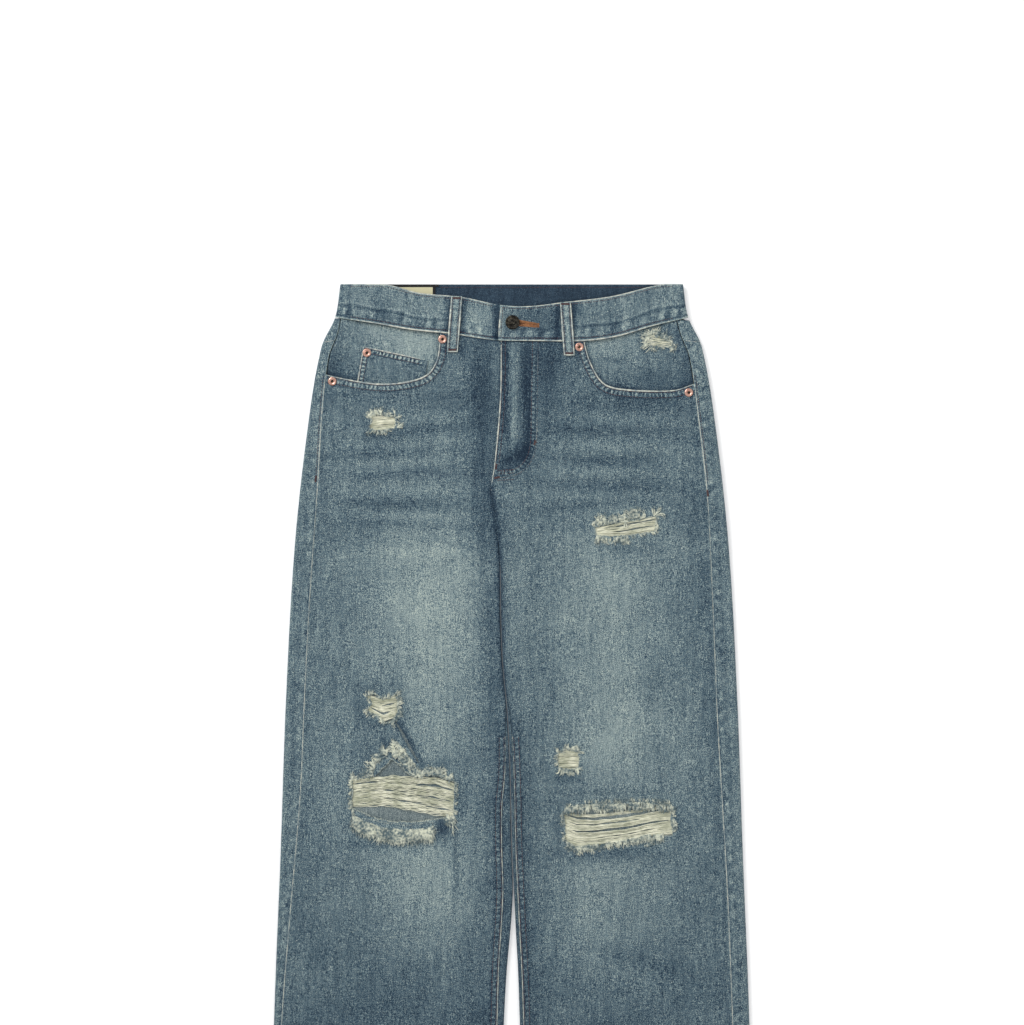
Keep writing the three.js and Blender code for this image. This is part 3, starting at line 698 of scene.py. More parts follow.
SEAMS = [
    Seam(MOUTH[Side.LEFT], 1, 9.5, 0.6, 0.35, 4.8, 1, 0.0, 0.04, 0.10, 4.8, 1.0),
    Seam(MOUTH[Side.RIGHT], -1, 9.5, 0.6, 0.35, 4.8, 2, 0.0, 0.04, 0.10, 4.8, 1.0),
    Seam(J_STITCH, -1, 8.0, 0.55, 0.4, 5.2, 3, 0.0, 0.0, 0.06, 5.4, 0.9),
    Seam(FLY_LINE, 1, 6.5, 0.35, 0.15, 12.0, 4, 0.0, 0.0, 0.06, 9.0, 0.3),
    # The waist seam's rope and edge are less than nought: a painted shadow just under the waistband's lower
    # edge.
    Seam(WAIST_LINE, -1, 3.0, 0.1, 0.35, 9.0, 5, -0.10, -0.22, 0.02),
    Seam(SIDE_LINE[Side.LEFT], -1, 12.0, 0.3, 0.45, 10.5, 6, 0.08, 0.04, 0.08, 21.0, 0.32),
    Seam(SIDE_LINE[Side.RIGHT], 1, 11.0, 0.3, 0.45, 10.5, 7, 0.12, 0.04, 0.08, 21.0, 0.36),
    Seam(SIDE_LINE[Side.LEFT], 1, 4.0, 0.0, 0.25, 9.5, 6, 0.05, 0.05, 0.03),
    Seam(SIDE_LINE[Side.RIGHT], -1, 4.0, 0.0, 0.25, 9.5, 7, 0.05, 0.05, 0.03),
    Seam(INSEAM_LINE[Side.LEFT], -1, 8.5, 0.5, 0.25, 6.0, 8, -0.14, -0.06, 0.10, 5.6, 0.42),
    Seam(INSEAM_LINE[Side.RIGHT], 1, 8.5, 0.5, 0.25, 6.0, 9, -0.14, -0.06, 0.10, 5.6, 0.42),
]
SEWN_REACH = 14.0


def mark_sewn(mesh: Any, x: Array, y: Array) -> None:
    """Keeps how near a mesh's points are to a puckered seam, and how far along it in puckers."""
    near, along, rope = np.zeros(len(x)), np.zeros(len(x)), np.zeros(len(x))
    for seam in (seam for seam in SEAMS if seam.knot):
        gap, place = seam.strip(x, y)
        closer = (gap > -1.2) & (SEWN_REACH - gap > near)
        near = np.where(closer, SEWN_REACH - gap, near)
        along = np.where(closer, place / seam.knot, along)
        ends = ramp(place, 0, 22) * ramp(seam.path.length - place, 0, 8)
        rope = np.where(closer, seam.strength * ends, rope)
    keep_sewn(mesh, near, along, rope)


def keep_sewn(mesh: Any, near: Array, along: Array, rope: Array) -> None:
    """Stores the numbers that the denim's puckers read."""
    keep_number(mesh, "near", near)
    keep_number(mesh, "along", along)
    keep_number(mesh, "rope", rope)


# ---- shader expressions


class Shader:
    """The nodes of one material, written as expressions."""

    def __init__(self, name: str) -> None:
        """Starts an empty material with its Principled shader."""
        self.material = bpy.data.materials.new(name)
        self.material.use_nodes = True
        self.nodes = self.material.node_tree.nodes
        self.links = self.material.node_tree.links
        self.nodes.clear()
        self.output = self.nodes.new("ShaderNodeOutputMaterial")
        self.skin = self.nodes.new("ShaderNodeBsdfPrincipled")
        self.links.new(self.skin.outputs["BSDF"], self.output.inputs["Surface"])
        self.place = Value(self, self.node("ShaderNodeTexCoord").outputs["Object"])

    def node(
        self, kind: str, settings: dict[str, Any] | None = None, inputs: dict[Any, Any] | None = None
    ) -> Any:
        """Adds a node.

        Args:
            kind: Its type.
            settings: What is set before its sockets exist, such as an operation or a ramp's stops.
            inputs: Its sockets' values or links.

        Returns:
            The node.
        """
        node = self.nodes.new(kind)
        for key, value in (settings or {}).items():
            if key == "stops":
                self._stops(node.color_ramp, value)
            else:
                setattr(node, key, value)
        for key, value in (inputs or {}).items():
            self.feed(node.inputs[key], value)
        return node

    def _stops(self, band: Any, stops: Sequence[tuple[float, Sequence[float]]]) -> None:
        """Sets a ramp's stops."""
        while len(band.elements) > 1:
            band.elements.remove(band.elements[-1])
        for i, (place, colour) in enumerate(stops):
            stop = band.elements[0] if i == 0 else band.elements.new(place)
            stop.position = place
            stop.color = (*colour, 1.0)

    def feed(self, socket: Any, value: Any) -> None:
        """Links or sets one socket."""
        if isinstance(value, Value):
            self.links.new(value.socket, socket)
        else:
            socket.default_value = value

    def math(self, operation: str, *values: Any, clamp: bool = False) -> "Value":
        """A Math node's result."""
        settings = {"operation": operation, "use_clamp": clamp}
        node = self.node("ShaderNodeMath", settings, dict(enumerate(values)))
        return Value(self, node.outputs[0])

    def attribute(self, name: str) -> "Value":
        """A number kept on the mesh."""
        return Value(self, self.node("ShaderNodeAttribute", {"attribute_name": name}).outputs["Fac"])

    def stretched(self, scale: Sequence[float], turn: float = 0.0) -> "Value":
        """The object's own place, scaled and turned about Z."""
        settings = {"vector_type": "POINT"}
        inputs = {"Vector": self.place, "Rotation": (0.0, 0.0, turn), "Scale": tuple(scale)}
        return Value(self, self.node("ShaderNodeMapping", settings, inputs).outputs[0])

    def noise(
        self, scale: Sequence[float], detail: float = 2.0, turn: float = 0.0, rough: float = 0.5
    ) -> "Value":
        """Noise from 0 to 1, with a scale along each axis."""
        inputs = {"Vector": self.stretched(scale, turn), "Scale": 1.0, "Detail": detail, "Roughness": rough}
        return Value(self, self.node("ShaderNodeTexNoise", None, inputs).outputs["Fac"])

    def wave(self, pitch: float, turn: float) -> "Value":
        """Even ridges from 0 to 1 across a turned X axis."""
        settings = {"wave_type": "BANDS", "bands_direction": "X", "wave_profile": "SIN"}
        inputs = {"Vector": self.stretched((1, 1, 1), turn), "Scale": 0.314 / pitch, "Distortion": 0.0}
        return Value(self, self.node("ShaderNodeTexWave", settings, inputs).outputs["Fac"])

    def ramp(self, value: Any, stops: Sequence[tuple[float, Sequence[float]]]) -> "Value":
        """A colour by a number."""
        return Value(self, self.node("ShaderNodeValToRGB", {"stops": stops}, {"Fac": value}).outputs["Color"])

    def blend(self, share: Any, low: Any, high: Any) -> "Value":
        """Between two colours, by a share."""
        inputs = {0: share, 6: self._colour(low), 7: self._colour(high)}
        node = self.node("ShaderNodeMix", {"data_type": "RGBA", "blend_type": "MIX"}, inputs)
        return Value(self, node.outputs[2])

    def _colour(self, value: Any) -> Any:
        """A colour socket's value."""
        return value if isinstance(value, Value) else (*value, 1.0)

    def bump(self, height: Any, distance: float, strength: float = 1.0) -> None:
        """Feeds the shader's normal."""
        inputs = {"Height": height, "Distance": distance, "Strength": strength}
        node = self.node("ShaderNodeBump", None, inputs)
        self.links.new(node.outputs[0], self.skin.inputs["Normal"])

    def finish(self, **sockets: Any) -> Any:
        """Sets the shader's own sockets, with spaces written as underscores.

        Args:
            sockets: Values or links by socket name.

        Returns:
            The material.
        """
        for key, value in sockets.items():
            self.feed(self.skin.inputs[key.replace("_", " ")], value)
        return self.material


class Value:
    """A socket in an expression."""

    def __init__(self, shader: Shader, socket: Any) -> None:
        """Keeps the socket and whose it is."""
        self.shader = shader
        self.socket = socket

    def __add__(self, other: Any) -> "Value":
        """self + other."""
        return self.shader.math("ADD", self, other)

    __radd__ = __add__

    def __sub__(self, other: Any) -> "Value":
        """self - other."""
        return self.shader.math("SUBTRACT", self, other)

    def __rsub__(self, other: Any) -> "Value":
        """other - self."""
        return self.shader.math("SUBTRACT", other, self)

    def __mul__(self, other: Any) -> "Value":
        """self * other."""
        return self.shader.math("MULTIPLY", self, other)

    __rmul__ = __mul__

    def over(self, edge: float, width: float) -> "Value":
        """0 below an edge and 1 above it, with a soft step of that width."""
        inputs = {"Value": self, "From Min": edge - width / 2, "From Max": edge + width / 2}
        node = self.shader.node("ShaderNodeMapRange", {"clamp": True}, inputs)
        return Value(self.shader, node.outputs[0])


STUDIO_LIGHT = 1.16


def srgb(red: int, green: int, blue: int) -> tuple[float, float, float]:
    """A colour as shaders want it, from how it looks, 0 to 255, under the studio's light."""
    parts = [c / 255 for c in (red, green, blue)]
    linear = [c / 12.92 if c < 0.04045 else ((c + 0.055) / 1.055) ** 2.4 for c in parts]
    return tuple(c / STUDIO_LIGHT for c in linear)


# ---- finishes


@dataclass(frozen=True)
class Denim:
    """Washed indigo twill: dark and pale warp grains, upright slubs, fine diagonals."""

    name: str = "denim"
    shift: float = 0.0
    grain: float = 1.0
    stops: tuple = (
        (0.0, srgb(18, 37, 55)),
        (0.2, srgb(45, 66, 85)),
        (0.4, srgb(72, 95, 110)),
        (0.6, srgb(105, 128, 136)),
        (0.8, srgb(138, 158, 162)),
        (1.0, srgb(194, 206, 196)),
    )
    torn: tuple = ((0.0, srgb(110, 130, 140)), (0.6, srgb(168, 180, 172)), (1.0, srgb(214, 218, 198)))

    def make(self) -> Any:
        """The material."""
        s = Shader(self.name)
        salt = s.noise((1500, 1080, 1500), 1.5, rough=0.75) - 0.5
        slub = s.noise((1100, 150, 1100), 2.0, rough=0.6) - 0.5
        weft = s.noise((130, 900, 900), 1.0) - 0.5
        cloud = s.noise((30, 22, 30), 3.0) - 0.5
        streak = s.noise((260, 13, 260), 1.0) - 0.5
        twill = s.wave(0.0011, math.radians(28))
        speckle = salt * 2.9 + slub * 0.8 + weft * 0.4
        # The mesh's tone number holds the washed and worn tone together with painted shade and shadows.
        tone = s.attribute("wear_and_shade") + speckle * self.grain + cloud * 0.10 + streak * 0.24 + self._sewn(s)
        tone = tone + (twill - 0.5) * 0.05 + self.shift
        torn = (s.attribute("fray") + salt * 2.2).over(0.62, 0.4)
        cloth = s.blend(torn, s.ramp(tone, self.stops), s.ramp(tone * 0.9 + 0.2, self.torn))
        s.bump(salt * 1.0 + slub * 0.6 + twill * 0.3, 0.0005, 0.7)
        return s.finish(
            Base_Color=cloth, Roughness=0.93, Specular_IOR_Level=0.22,
            Sheen_Weight=0.08, Sheen_Roughness=0.5,
        )

    @staticmethod
    def _sewn(s: Shader) -> Value:
        """How much paler the cloth is beside its seams: a worn edge, dark stitched lines, puckers between."""
        near = s.attribute("near")
        wander = s.noise((110, 110, 110), 2.0) - 0.5
        knot = s.math("SINE", (s.attribute("along") + wander * 1.7) * math.tau)
        lit = s.noise((70, 70, 70), 1.0).over(0.46, 0.3)
        row = near.over(6.4, 1.6) - near.over(11.3, 1.4)
        edge = near.over(13.1, 1.0)
        groove = near.over(11.7, 0.9) - near.over(12.8, 0.8)
        foot = near.over(4.4, 1.2) - near.over(6.4, 1.2)
        dots = row * (knot * (lit * 0.2 + 0.14) + 0.05)
        return s.attribute("rope") * (dots + edge * 0.2 - groove * 0.2 - foot * 0.15)


@dataclass(frozen=True)
class Yarn:
    """Cotton in threads, fibres or a folded edge."""

    name: str
    pale: tuple[float, float, float]
    shade: tuple[float, float, float]
    scale: tuple[float, float, float] = (300, 1100, 1100)
    contrast: float = 2.2

    def make(self) -> Any:
        """The material."""
        s = Shader(self.name)
        fine = s.noise(self.scale, 2.0, rough=0.6)
        broad = s.noise((70, 70, 70), 2.0)
        share = s.math("MULTIPLY_ADD", fine + broad * 0.7 - 0.85, self.contrast, 0.5, clamp=True)
        s.bump(fine, 0.0003, 0.6)
        return s.finish(
            Base_Color=s.blend(share, self.shade, self.pale), Roughness=0.95, Specular_IOR_Level=0.15,
            Sheen_Weight=0.1,
        )


@dataclass(frozen=True)
class Metal:
    """Plated metal, rubbed bare on its high places."""

    name: str
    bright: tuple[float, float, float]
    dull: tuple[float, float, float]
    roughness: float
    bareness: float

    def make(self) -> Any:
        """The material."""
        s = Shader(self.name)
        blotch = s.noise((420, 420, 420), 4.0, rough=0.65)
        scratch = s.noise((300, 2600, 900), 2.0, turn=0.7)
        worn = (blotch * 0.7 + scratch * 0.3).over(1 - self.bareness, 0.24)
        s.bump(blotch * 0.6 + scratch * 0.4, 0.00012, 0.5)
        return s.finish(
            Base_Color=s.blend(worn, self.dull, self.bright), Metallic=0.85,
            Roughness=self.roughness + (1 - worn) * 0.16,
        )


@dataclass(frozen=True)
class Woven:
    """Smooth woven tape or label cloth."""

    name: str
    colour: tuple[float, float, float]
    shade: tuple[float, float, float]

    def make(self) -> Any:
        """The material."""
        s = Shader(self.name)
        across = s.wave(0.0006, 0.0)
        along = s.wave(0.0006, math.pi / 2)
        thread = s.noise((900, 900, 900), 2.0)
        weave = across * along + thread * 0.5
        s.bump(weave, 0.0002, 0.6)
        return s.finish(Base_Color=s.blend(weave * 0.8, self.shade, self.colour), Roughness=0.85)


@dataclass(frozen=True)
class Paper:
    """The plain pale floor."""

    name: str = "floor"

    def make(self) -> Any:
        """The material."""
        s = Shader(self.name)
        return s.finish(
            Base_Color=(0.95, 0.95, 0.95, 1.0), Roughness=0.95, Specular_IOR_Level=0.1,
            Emission_Color=(1.0, 1.0, 1.0, 1.0), Emission_Strength=0.18,
        )


class Wardrobe:
    """Every finish, made once."""

    def __init__(self) -> None:
        """Makes the materials."""
        self.denim = Denim().make()
        self.inside = Denim("denim_inside", 0.02, 0.8, stops=(
            (0.0, srgb(62, 76, 84)),
            (0.4, srgb(98, 113, 118)),
            (0.6, srgb(126, 140, 141)),
            (1.0, srgb(180, 188, 184)),
        )).make()
        self.navy = Denim("denim_unworn", -0.14, 0.8, stops=(
            (0.0, srgb(24, 38, 54)),
            (0.4, srgb(52, 72, 89)),
            (0.6, srgb(66, 87, 104)),
            (1.0, srgb(104, 124, 136)),
        )).make()
        pale, shade = srgb(254, 253, 232), srgb(180, 184, 160)
        self.weft = Yarn("weft_threads", pale, shade, (160, 1500, 900), 2.6).make()
        self.fringe = Yarn("fringe", srgb(232, 235, 216), srgb(104, 124, 130), (340, 340, 340), 3.0).make()
        self.edge = Yarn("worn_edge", srgb(228, 229, 214), srgb(132, 146, 152), (260, 260, 260), 2.6).make()
        self.rust = Yarn("rust_thread", srgb(112, 86, 84), srgb(62, 52, 60), (500, 500, 500), 2.0).make()
        self.ochre = Yarn("ochre_thread", srgb(190, 136, 92), srgb(120, 80, 54), (500, 900, 500), 2.0).make()
        self.copper = Metal("copper", srgb(236, 190, 172), srgb(132, 84, 68), 0.32, 0.56).make()
        self.bronze = Metal("bronze", srgb(108, 102, 90), srgb(24, 24, 22), 0.34, 0.42).make()
        self.tape = Woven("label_tape", srgb(26, 27, 30), srgb(12, 12, 14)).make()
        self.cream = Woven("label_cloth", srgb(226, 221, 186), srgb(196, 190, 154)).make()
        self.floor = Paper().make()


class Part:
    """A sub-assembly that is built on its own."""

    def build(self, wardrobe: Wardrobe) -> None:
        """Lays its pieces and dresses them.

        Args:
            wardrobe: The finishes.
        """
        raise NotImplementedError


# ---- meshes


def slab(columns: int, rows: int) -> Any:
    """A flat closed slab of cloth: x and y run from 0 to 1, and z from 0 on its outer skin to -1."""
    bm = bmesh.new()
    bmesh.ops.create_grid(bm, x_segments=columns, y_segments=rows, size=0.5)
    made = bmesh.ops.extrude_face_region(bm, geom=bm.faces[:])
    moved = [v for v in made["geom"] if isinstance(v, bmesh.types.BMVert)]
    bmesh.ops.translate(bm, verts=moved, vec=(0, 0, -1))
    bmesh.ops.translate(bm, verts=bm.verts[:], vec=(0.5, 0.5, 0))
    bmesh.ops.recalc_face_normals(bm, faces=bm.faces[:])
    return bm


def mesh_of(bm: Any, name: str) -> Any:
    """A mesh from a bmesh, which is freed."""
    mesh = bpy.data.meshes.new(name)
    bm.to_mesh(mesh)
    bm.free()
    return mesh


def points_of(mesh: Any) -> Array:
    """A mesh's points as rows."""
    points = np.empty(len(mesh.vertices) * 3)
    mesh.vertices.foreach_get("co", points)
    return points.reshape(-1, 3)


def move_points(mesh: Any, points: Array) -> None:
    """Puts a mesh's points where the rows say."""
    mesh.vertices.foreach_set("co", np.ascontiguousarray(points).ravel())
    mesh.update()


def keep_number(mesh: Any, name: str, values: Array) -> None:
    """Keeps a number on each point, for the material."""
    layer = mesh.attributes.new(name, "FLOAT", "POINT")
    layer.data.foreach_set("value", np.ascontiguousarray(values, dtype=np.float32))


def in_scene(name: str, data: Any) -> Any:
    """Puts a new object with that data in the scene."""
    body = bpy.data.objects.new(name, data)
    bpy.context.scene.collection.objects.link(body)
    return body


def prism(outline: Outline, low: float, high: float) -> Any:
    """An upright prism object of a flat outline, to cut cloth with."""
    bm = bmesh.new()
    corners = [bm.verts.new((x, y, low)) for x, y in outline]
    base = bm.faces.new(corners)
    made = bmesh.ops.extrude_face_region(bm, geom=[base])
    moved = [v for v in made["geom"] if isinstance(v, bmesh.types.BMVert)]
    bmesh.ops.translate(bm, verts=moved, vec=(0, 0, high - low))
    bmesh.ops.triangulate(bm, faces=[f for f in bm.faces if len(f.verts) > 4])
    bmesh.ops.recalc_face_normals(bm, faces=bm.faces[:])
    cutter = in_scene("cutter", mesh_of(bm, "cutter"))
    return cutter


def cut(
    mesh: Any, outlines: Iterable[Outline], low: float = -10.0, high: float = 10.0, keep: bool = False
) -> Any:
    """Cuts outlines out of a closed mesh.

    Args:
        mesh: What is cut; it is used up.
        outlines: The holes.
        low: Where the cutters start.
        high: Where they end.
        keep: Keep what is inside in place of what is outside.

    Returns:
        The cut mesh.
    """
    body = in_scene("cloth_blank", mesh)
    cutters = [prism(outline, low, high) for outline in outlines]
    for cutter in cutters:
        step = body.modifiers.new("cut", "BOOLEAN")
        step.operation = "INTERSECT" if keep else "DIFFERENCE"
        step.solver = "MANIFOLD"
        step.object = cutter
    made = baked(body)
    for cutter in cutters:
        bpy.data.objects.remove(cutter)
    return made


def baked(body: Any) -> Any:
    """The mesh of an object with its modifiers applied; the object is removed."""
    graph = bpy.context.evaluated_depsgraph_get()
    mesh = bpy.data.meshes.new_from_object(body.evaluated_get(graph))
    bpy.data.objects.remove(body)
    return mesh


@dataclass(frozen=True)
class Sheet:
    """The flat cut of a cloth piece, in millimetres."""

    width: float
    length: float
    share: float = 1.0


def add_piece(
    name: str, mesh: Any, materials: Sequence[Any], nodes: Sequence[str] = ()
) -> Any:
    """Puts a finished mesh in the scene, riding on the garment's body.

    Args:
        name: The piece's name.
        mesh: Its mesh, in metres.
        materials: What its faces' material numbers stand for.
        nodes: The frame's solids that it stands for.

    Returns:
        The piece.
    """
    piece = in_scene(name, mesh)
    for number, material in enumerate(materials):
        if number == len(mesh.materials):
            mesh.materials.append(material)
        mesh.materials[number] = material
    mesh.shade_smooth()
    mesh.set_sharp_from_angle(angle=SHARP_ANGLE)
    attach(piece, "root")
    if nodes:
        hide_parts(*nodes)
    LOG.info("%s: %d faces", name, len(mesh.polygons))
    return piece


def lay_cloth(sheet: Sheet) -> None:
    """Works out a laid sheet of cloth's area, which is not kept."""
    area = sheet.width * sheet.length * sheet.share * MM * MM
    sheet.width * MM


def add_cloth(
    wardrobe: Wardrobe, name: str, mesh: Any, sheet: Sheet, rests_on: Sequence[str] = ()
) -> None:
    """Puts a sheet of denim in the scene, with its inside on its inner skin.

    Args:
        wardrobe: The finishes.
        name: Its node's name.
        mesh: Its mesh, in metres.
        sheet: Its flat cut.
        rests_on: The nodes that it lies on; not used.
    """
    piece = add_piece(f"denim_{name}", mesh, [wardrobe.denim, wardrobe.inside], [name])
    lay_cloth(sheet)


class Skin(Enum):
    """Which face of a wall of cloth a face is on."""

    OUTER = 0
    INNER = 1


def mark_skins(mesh: Any) -> Array:
    """Gives the faces of a flat slab their material numbers, and returns its points."""
    normals = np.empty(len(mesh.polygons) * 3)
    mesh.polygons.foreach_get("normal", normals)
    down = normals.reshape(-1, 3)[:, 2] < -0.5
    numbers = np.where(down, Skin.INNER.value, Skin.OUTER.value)
    mesh.polygons.foreach_set("material_index", numbers.astype(np.int32))
    return points_of(mesh)


class Strands:
    """Many threads, stitches or fibres as one mesh."""

    def __init__(self, name: str, facets: int = 0) -> None:
        """Starts an empty bundle; facets is the bevel resolution of its round section."""
        self.name = name
        self.curve = bpy.data.curves.new(name, "CURVE")
        self.curve.dimensions = "3D"
        self.curve.bevel_depth = MM
        self.curve.bevel_resolution = facets
        self.curve.use_fill_caps = True
        self.curve.resolution_u = 1

    def add(self, points: Array, radius: float, tips: Pair = (1.0, 1.0)) -> None:
        """Adds one strand.

        Args:
            points: Rows of x, y and z, in millimetres.
            radius: Its radius in the middle.
            tips: The share of the radius at each end.
        """
        count = len(points)
        line = self.curve.splines.new("POLY")
        line.points.add(count - 1)
        placed = np.concatenate([np.asarray(points, float) * MM, np.ones((count, 1))], axis=1)
        line.points.foreach_set("co", placed.ravel())
        share = np.linspace(0, 1, count)
        shape = 1 - (1 - tips[0]) * np.clip(1 - share * 3, 0, 1)
        shape = shape - (1 - tips[1]) * np.clip(share * 3 - 2, 0, 1)
        line.points.foreach_set("radius", radius * shape)

    def add_all(self, strands: Array, radius: float, tips: Pair = (1.0, 1.0)) -> None:
        """Adds strands that have as many points each: a block of strand, point and x, y and z."""
        for points in strands:
            self.add(points, radius, tips)

    def mesh(self) -> Any:
        """The bundle's mesh."""
        body = in_scene(self.name, self.curve)
        made = baked(body)
        bpy.data.curves.remove(self.curve)
        return made


Height = Callable[[Any, Any], Any]


@dataclass
class Sewing:
    """Stitch rows and worn folded edges, gathered by finish."""

    rust: Strands = field(default_factory=lambda: Strands("topstitching"))
    ochre: Strands = field(default_factory=lambda: Strands("buttonhole_thread"))
    edges: Strands = field(default_factory=lambda: Strands("worn_edges", 1))
    chance: random.Random = field(default_factory=lambda: random.Random(11))

    def row(
        self, path: Path, across: float, height: Height, span: Pair | None = None,
        bundle: Strands | None = None, radius: float = STITCH_RADIUS, pitch: float = STITCH_PITCH,
    ) -> None:
        """Sews a row of stitches.

        Args:
            path: The line it follows.
            across: How far left of the line it runs.
            height: The cloth's surface.
            span: The stretch of the line that is sewn.
            bundle: The thread.
            radius: The thread's.
            pitch: From stitch to stitch.
        """
        start, end = span or (0.0, path.length)
        count = max(1, int((end - start) / pitch))
        drift = np.array([self.chance.uniform(-0.12, 0.12) for _ in range(count)])
        places = start + (np.arange(count)[:, None] + 0.5 + np.array([-0.4, 0.0, 0.4])) * pitch
        x, y = path.at(places, across + drift[:, None])
        z = height(x, y) + np.array([-0.07, 0.27, -0.07])
        (bundle or self.rust).add_all(xyz(x, y, z), radius, (0.6, 0.6))

    def edge(
        self, path: Path, across: float, height: Height, span: Pair | None = None, radius: float = 0.9
    ) -> None:
        """Lays a folded edge's worn cord along a line.

        Args:
            path: The line.
            across: How far left of the line it runs.
            height: The cloth's surface.
            span: The stretch of the line.
            radius: The cord's.
        """
        start, end = span or (0.0, path.length)
        places = np.linspace(start, end, max(4, int((end - start) / 2.2)))
        x, y = path.at(places, across)
        z = height(x, y) - radius * 0.45 + 0.12 * ripple(places, 9.0, int(path.length) % 17)
        self.edges.add(xyz(x, y, z), radius, (0.5, 0.5))

    def overcast(self, path: Path, reach: float, height: Height) -> None:
        """Sews close stitches out over the edge of a hole.

        Args:
            path: The hole's outline, counter-clockwise.
            reach: How far they go over the cloth.
            height: The cloth's surface.
        """
        for place in np.arange(0, path.length, 0.6):
            across = np.array([1.1, -0.5, -1.0]) * np.array([1.0, reach, reach])
            x, y = path.at(place + np.zeros(3), across)
            z = height(x, y) + np.array([-0.9, 0.35, 0.0])
            self.ochre.add(xyz(x, y, z), 0.36, (0.8, 0.6))

    def tack(
        self, centre: Pair, length: float, angle: float, height: Height, bundle: Strands | None = None
    ) -> None:
        """Sews a bartack: close stitches side by side over a short bar.

        Args:
            centre: Its middle.
            length: Of the bar.
            angle: Of the bar, in degrees from X.
            height: The cloth's surface.
            bundle: The thread.
        """
        c, s = math.cos(math.radians(angle)), math.sin(math.radians(angle))
        for i in range(int(length / TACK_PITCH)):
            place = (i + 0.5) * TACK_PITCH - length / 2
            half = 1.1 + self.chance.uniform(-0.15, 0.15)
            ends = np.array([-half, 0.0, half])
            x = centre[0] + place * c - ends * s
            y = centre[1] + place * s + ends * c
            z = height(x, y) + np.array([0.05, 0.45, 0.05])
            (bundle or self.rust).add(xyz(x, y, z), 0.33, (0.7, 0.7))

    def dress(self, wardrobe: Wardrobe) -> None:
        """Puts the bundles in the scene."""
        add_piece("topstitching", self.rust.mesh(), [wardrobe.rust])
        add_piece("buttonhole_thread", self.ochre.mesh(), [wardrobe.ochre])
        add_piece("worn_edges", self.edges.mesh(), [wardrobe.edge])


# ---- rips


@dataclass(frozen=True)
class Slit:
    """A long gap between bared threads, at a share of the way up them."""

    share: float
    start: float
    end: float
    width: float

    def part(self, x: Array, share: Any) -> Array:
        """How far threads move aside, by their points and their share of the way up."""
        inside = np.sin(np.pi * np.clip((x - self.start) / (self.end - self.start), 0, 1)) ** 0.35
        side = np.where(share > self.share, 1, -1)
        return side * inside * self.width * np.exp(-np.abs(share - self.share) / 0.12)


@dataclass(frozen=True)
class Rip:
    """A worn-through place: its hole, and the stretch of weft left across it between two rails."""

    name: str
    side: Side
    hole: tuple[Pair, ...]
    seed: int
    upper: tuple[Pair, ...]
    lower: tuple[Pair, ...]
    slits: tuple[Slit, ...] = ()
    pitch: float = 0.8
    sway: float = 1.0
    bundles: float = 5.0

    @property
    def outline(self) -> Outline:
        """The torn edge of the cloth."""
        return ragged(list(self.hole), 2.2, 0.8, self.seed)

    def threads(self) -> Any:
        """The bared weft as a mesh: threads that wave in bundles, and part round the slits."""
        chance = random.Random(self.seed)
        strands = Strands(f"weft_{self.name}")
        rails = [np.array(rail, float) for rail in (self.lower, self.upper)]
        start = max(rail[0, 0] for rail in rails) - 2.5
        end = min(rail[-1, 0] for rail in rails) + 2.5
        x = np.linspace(start, end, max(7, int((end - start) / 2.4)))
        low, high = (np.interp(x, rail[:, 0], rail[:, 1]) for rail in rails)
        held = np.sin(np.pi * np.linspace(0, 1, len(x))) ** 0.4
        drift = np.sin(x * 0.05 + self.seed * 2.0)
        share = 0.0
        while share < 1:
            phase = share * math.tau * self.bundles + 1.6 * drift + self.seed
            wave = 0.5 * np.sin(x * 0.11 + self.seed + 3 * share)
            wave = wave + 0.3 * np.sin(x * 0.35 + chance.uniform(0, 6.3))
            line = mix(low, high, share) + (self.sway * wave + 0.5 * np.sin(phase)) * held
            line = line + sum(slit.part(x, share) for slit in self.slits)
            lift = chance.uniform(-0.4, 0.4) - 0.45 * np.cos(phase)
            z = front_top(x, line) - 0.7 - 0.9 * (1 - held) + lift * held
            strands.add(xyz(x, line, z), chance.uniform(0.36, 0.56), (0.8, 0.8))
            share += self.pitch * chance.uniform(0.6, 1.25) / float(np.mean(high - low))
        return strands.mesh()


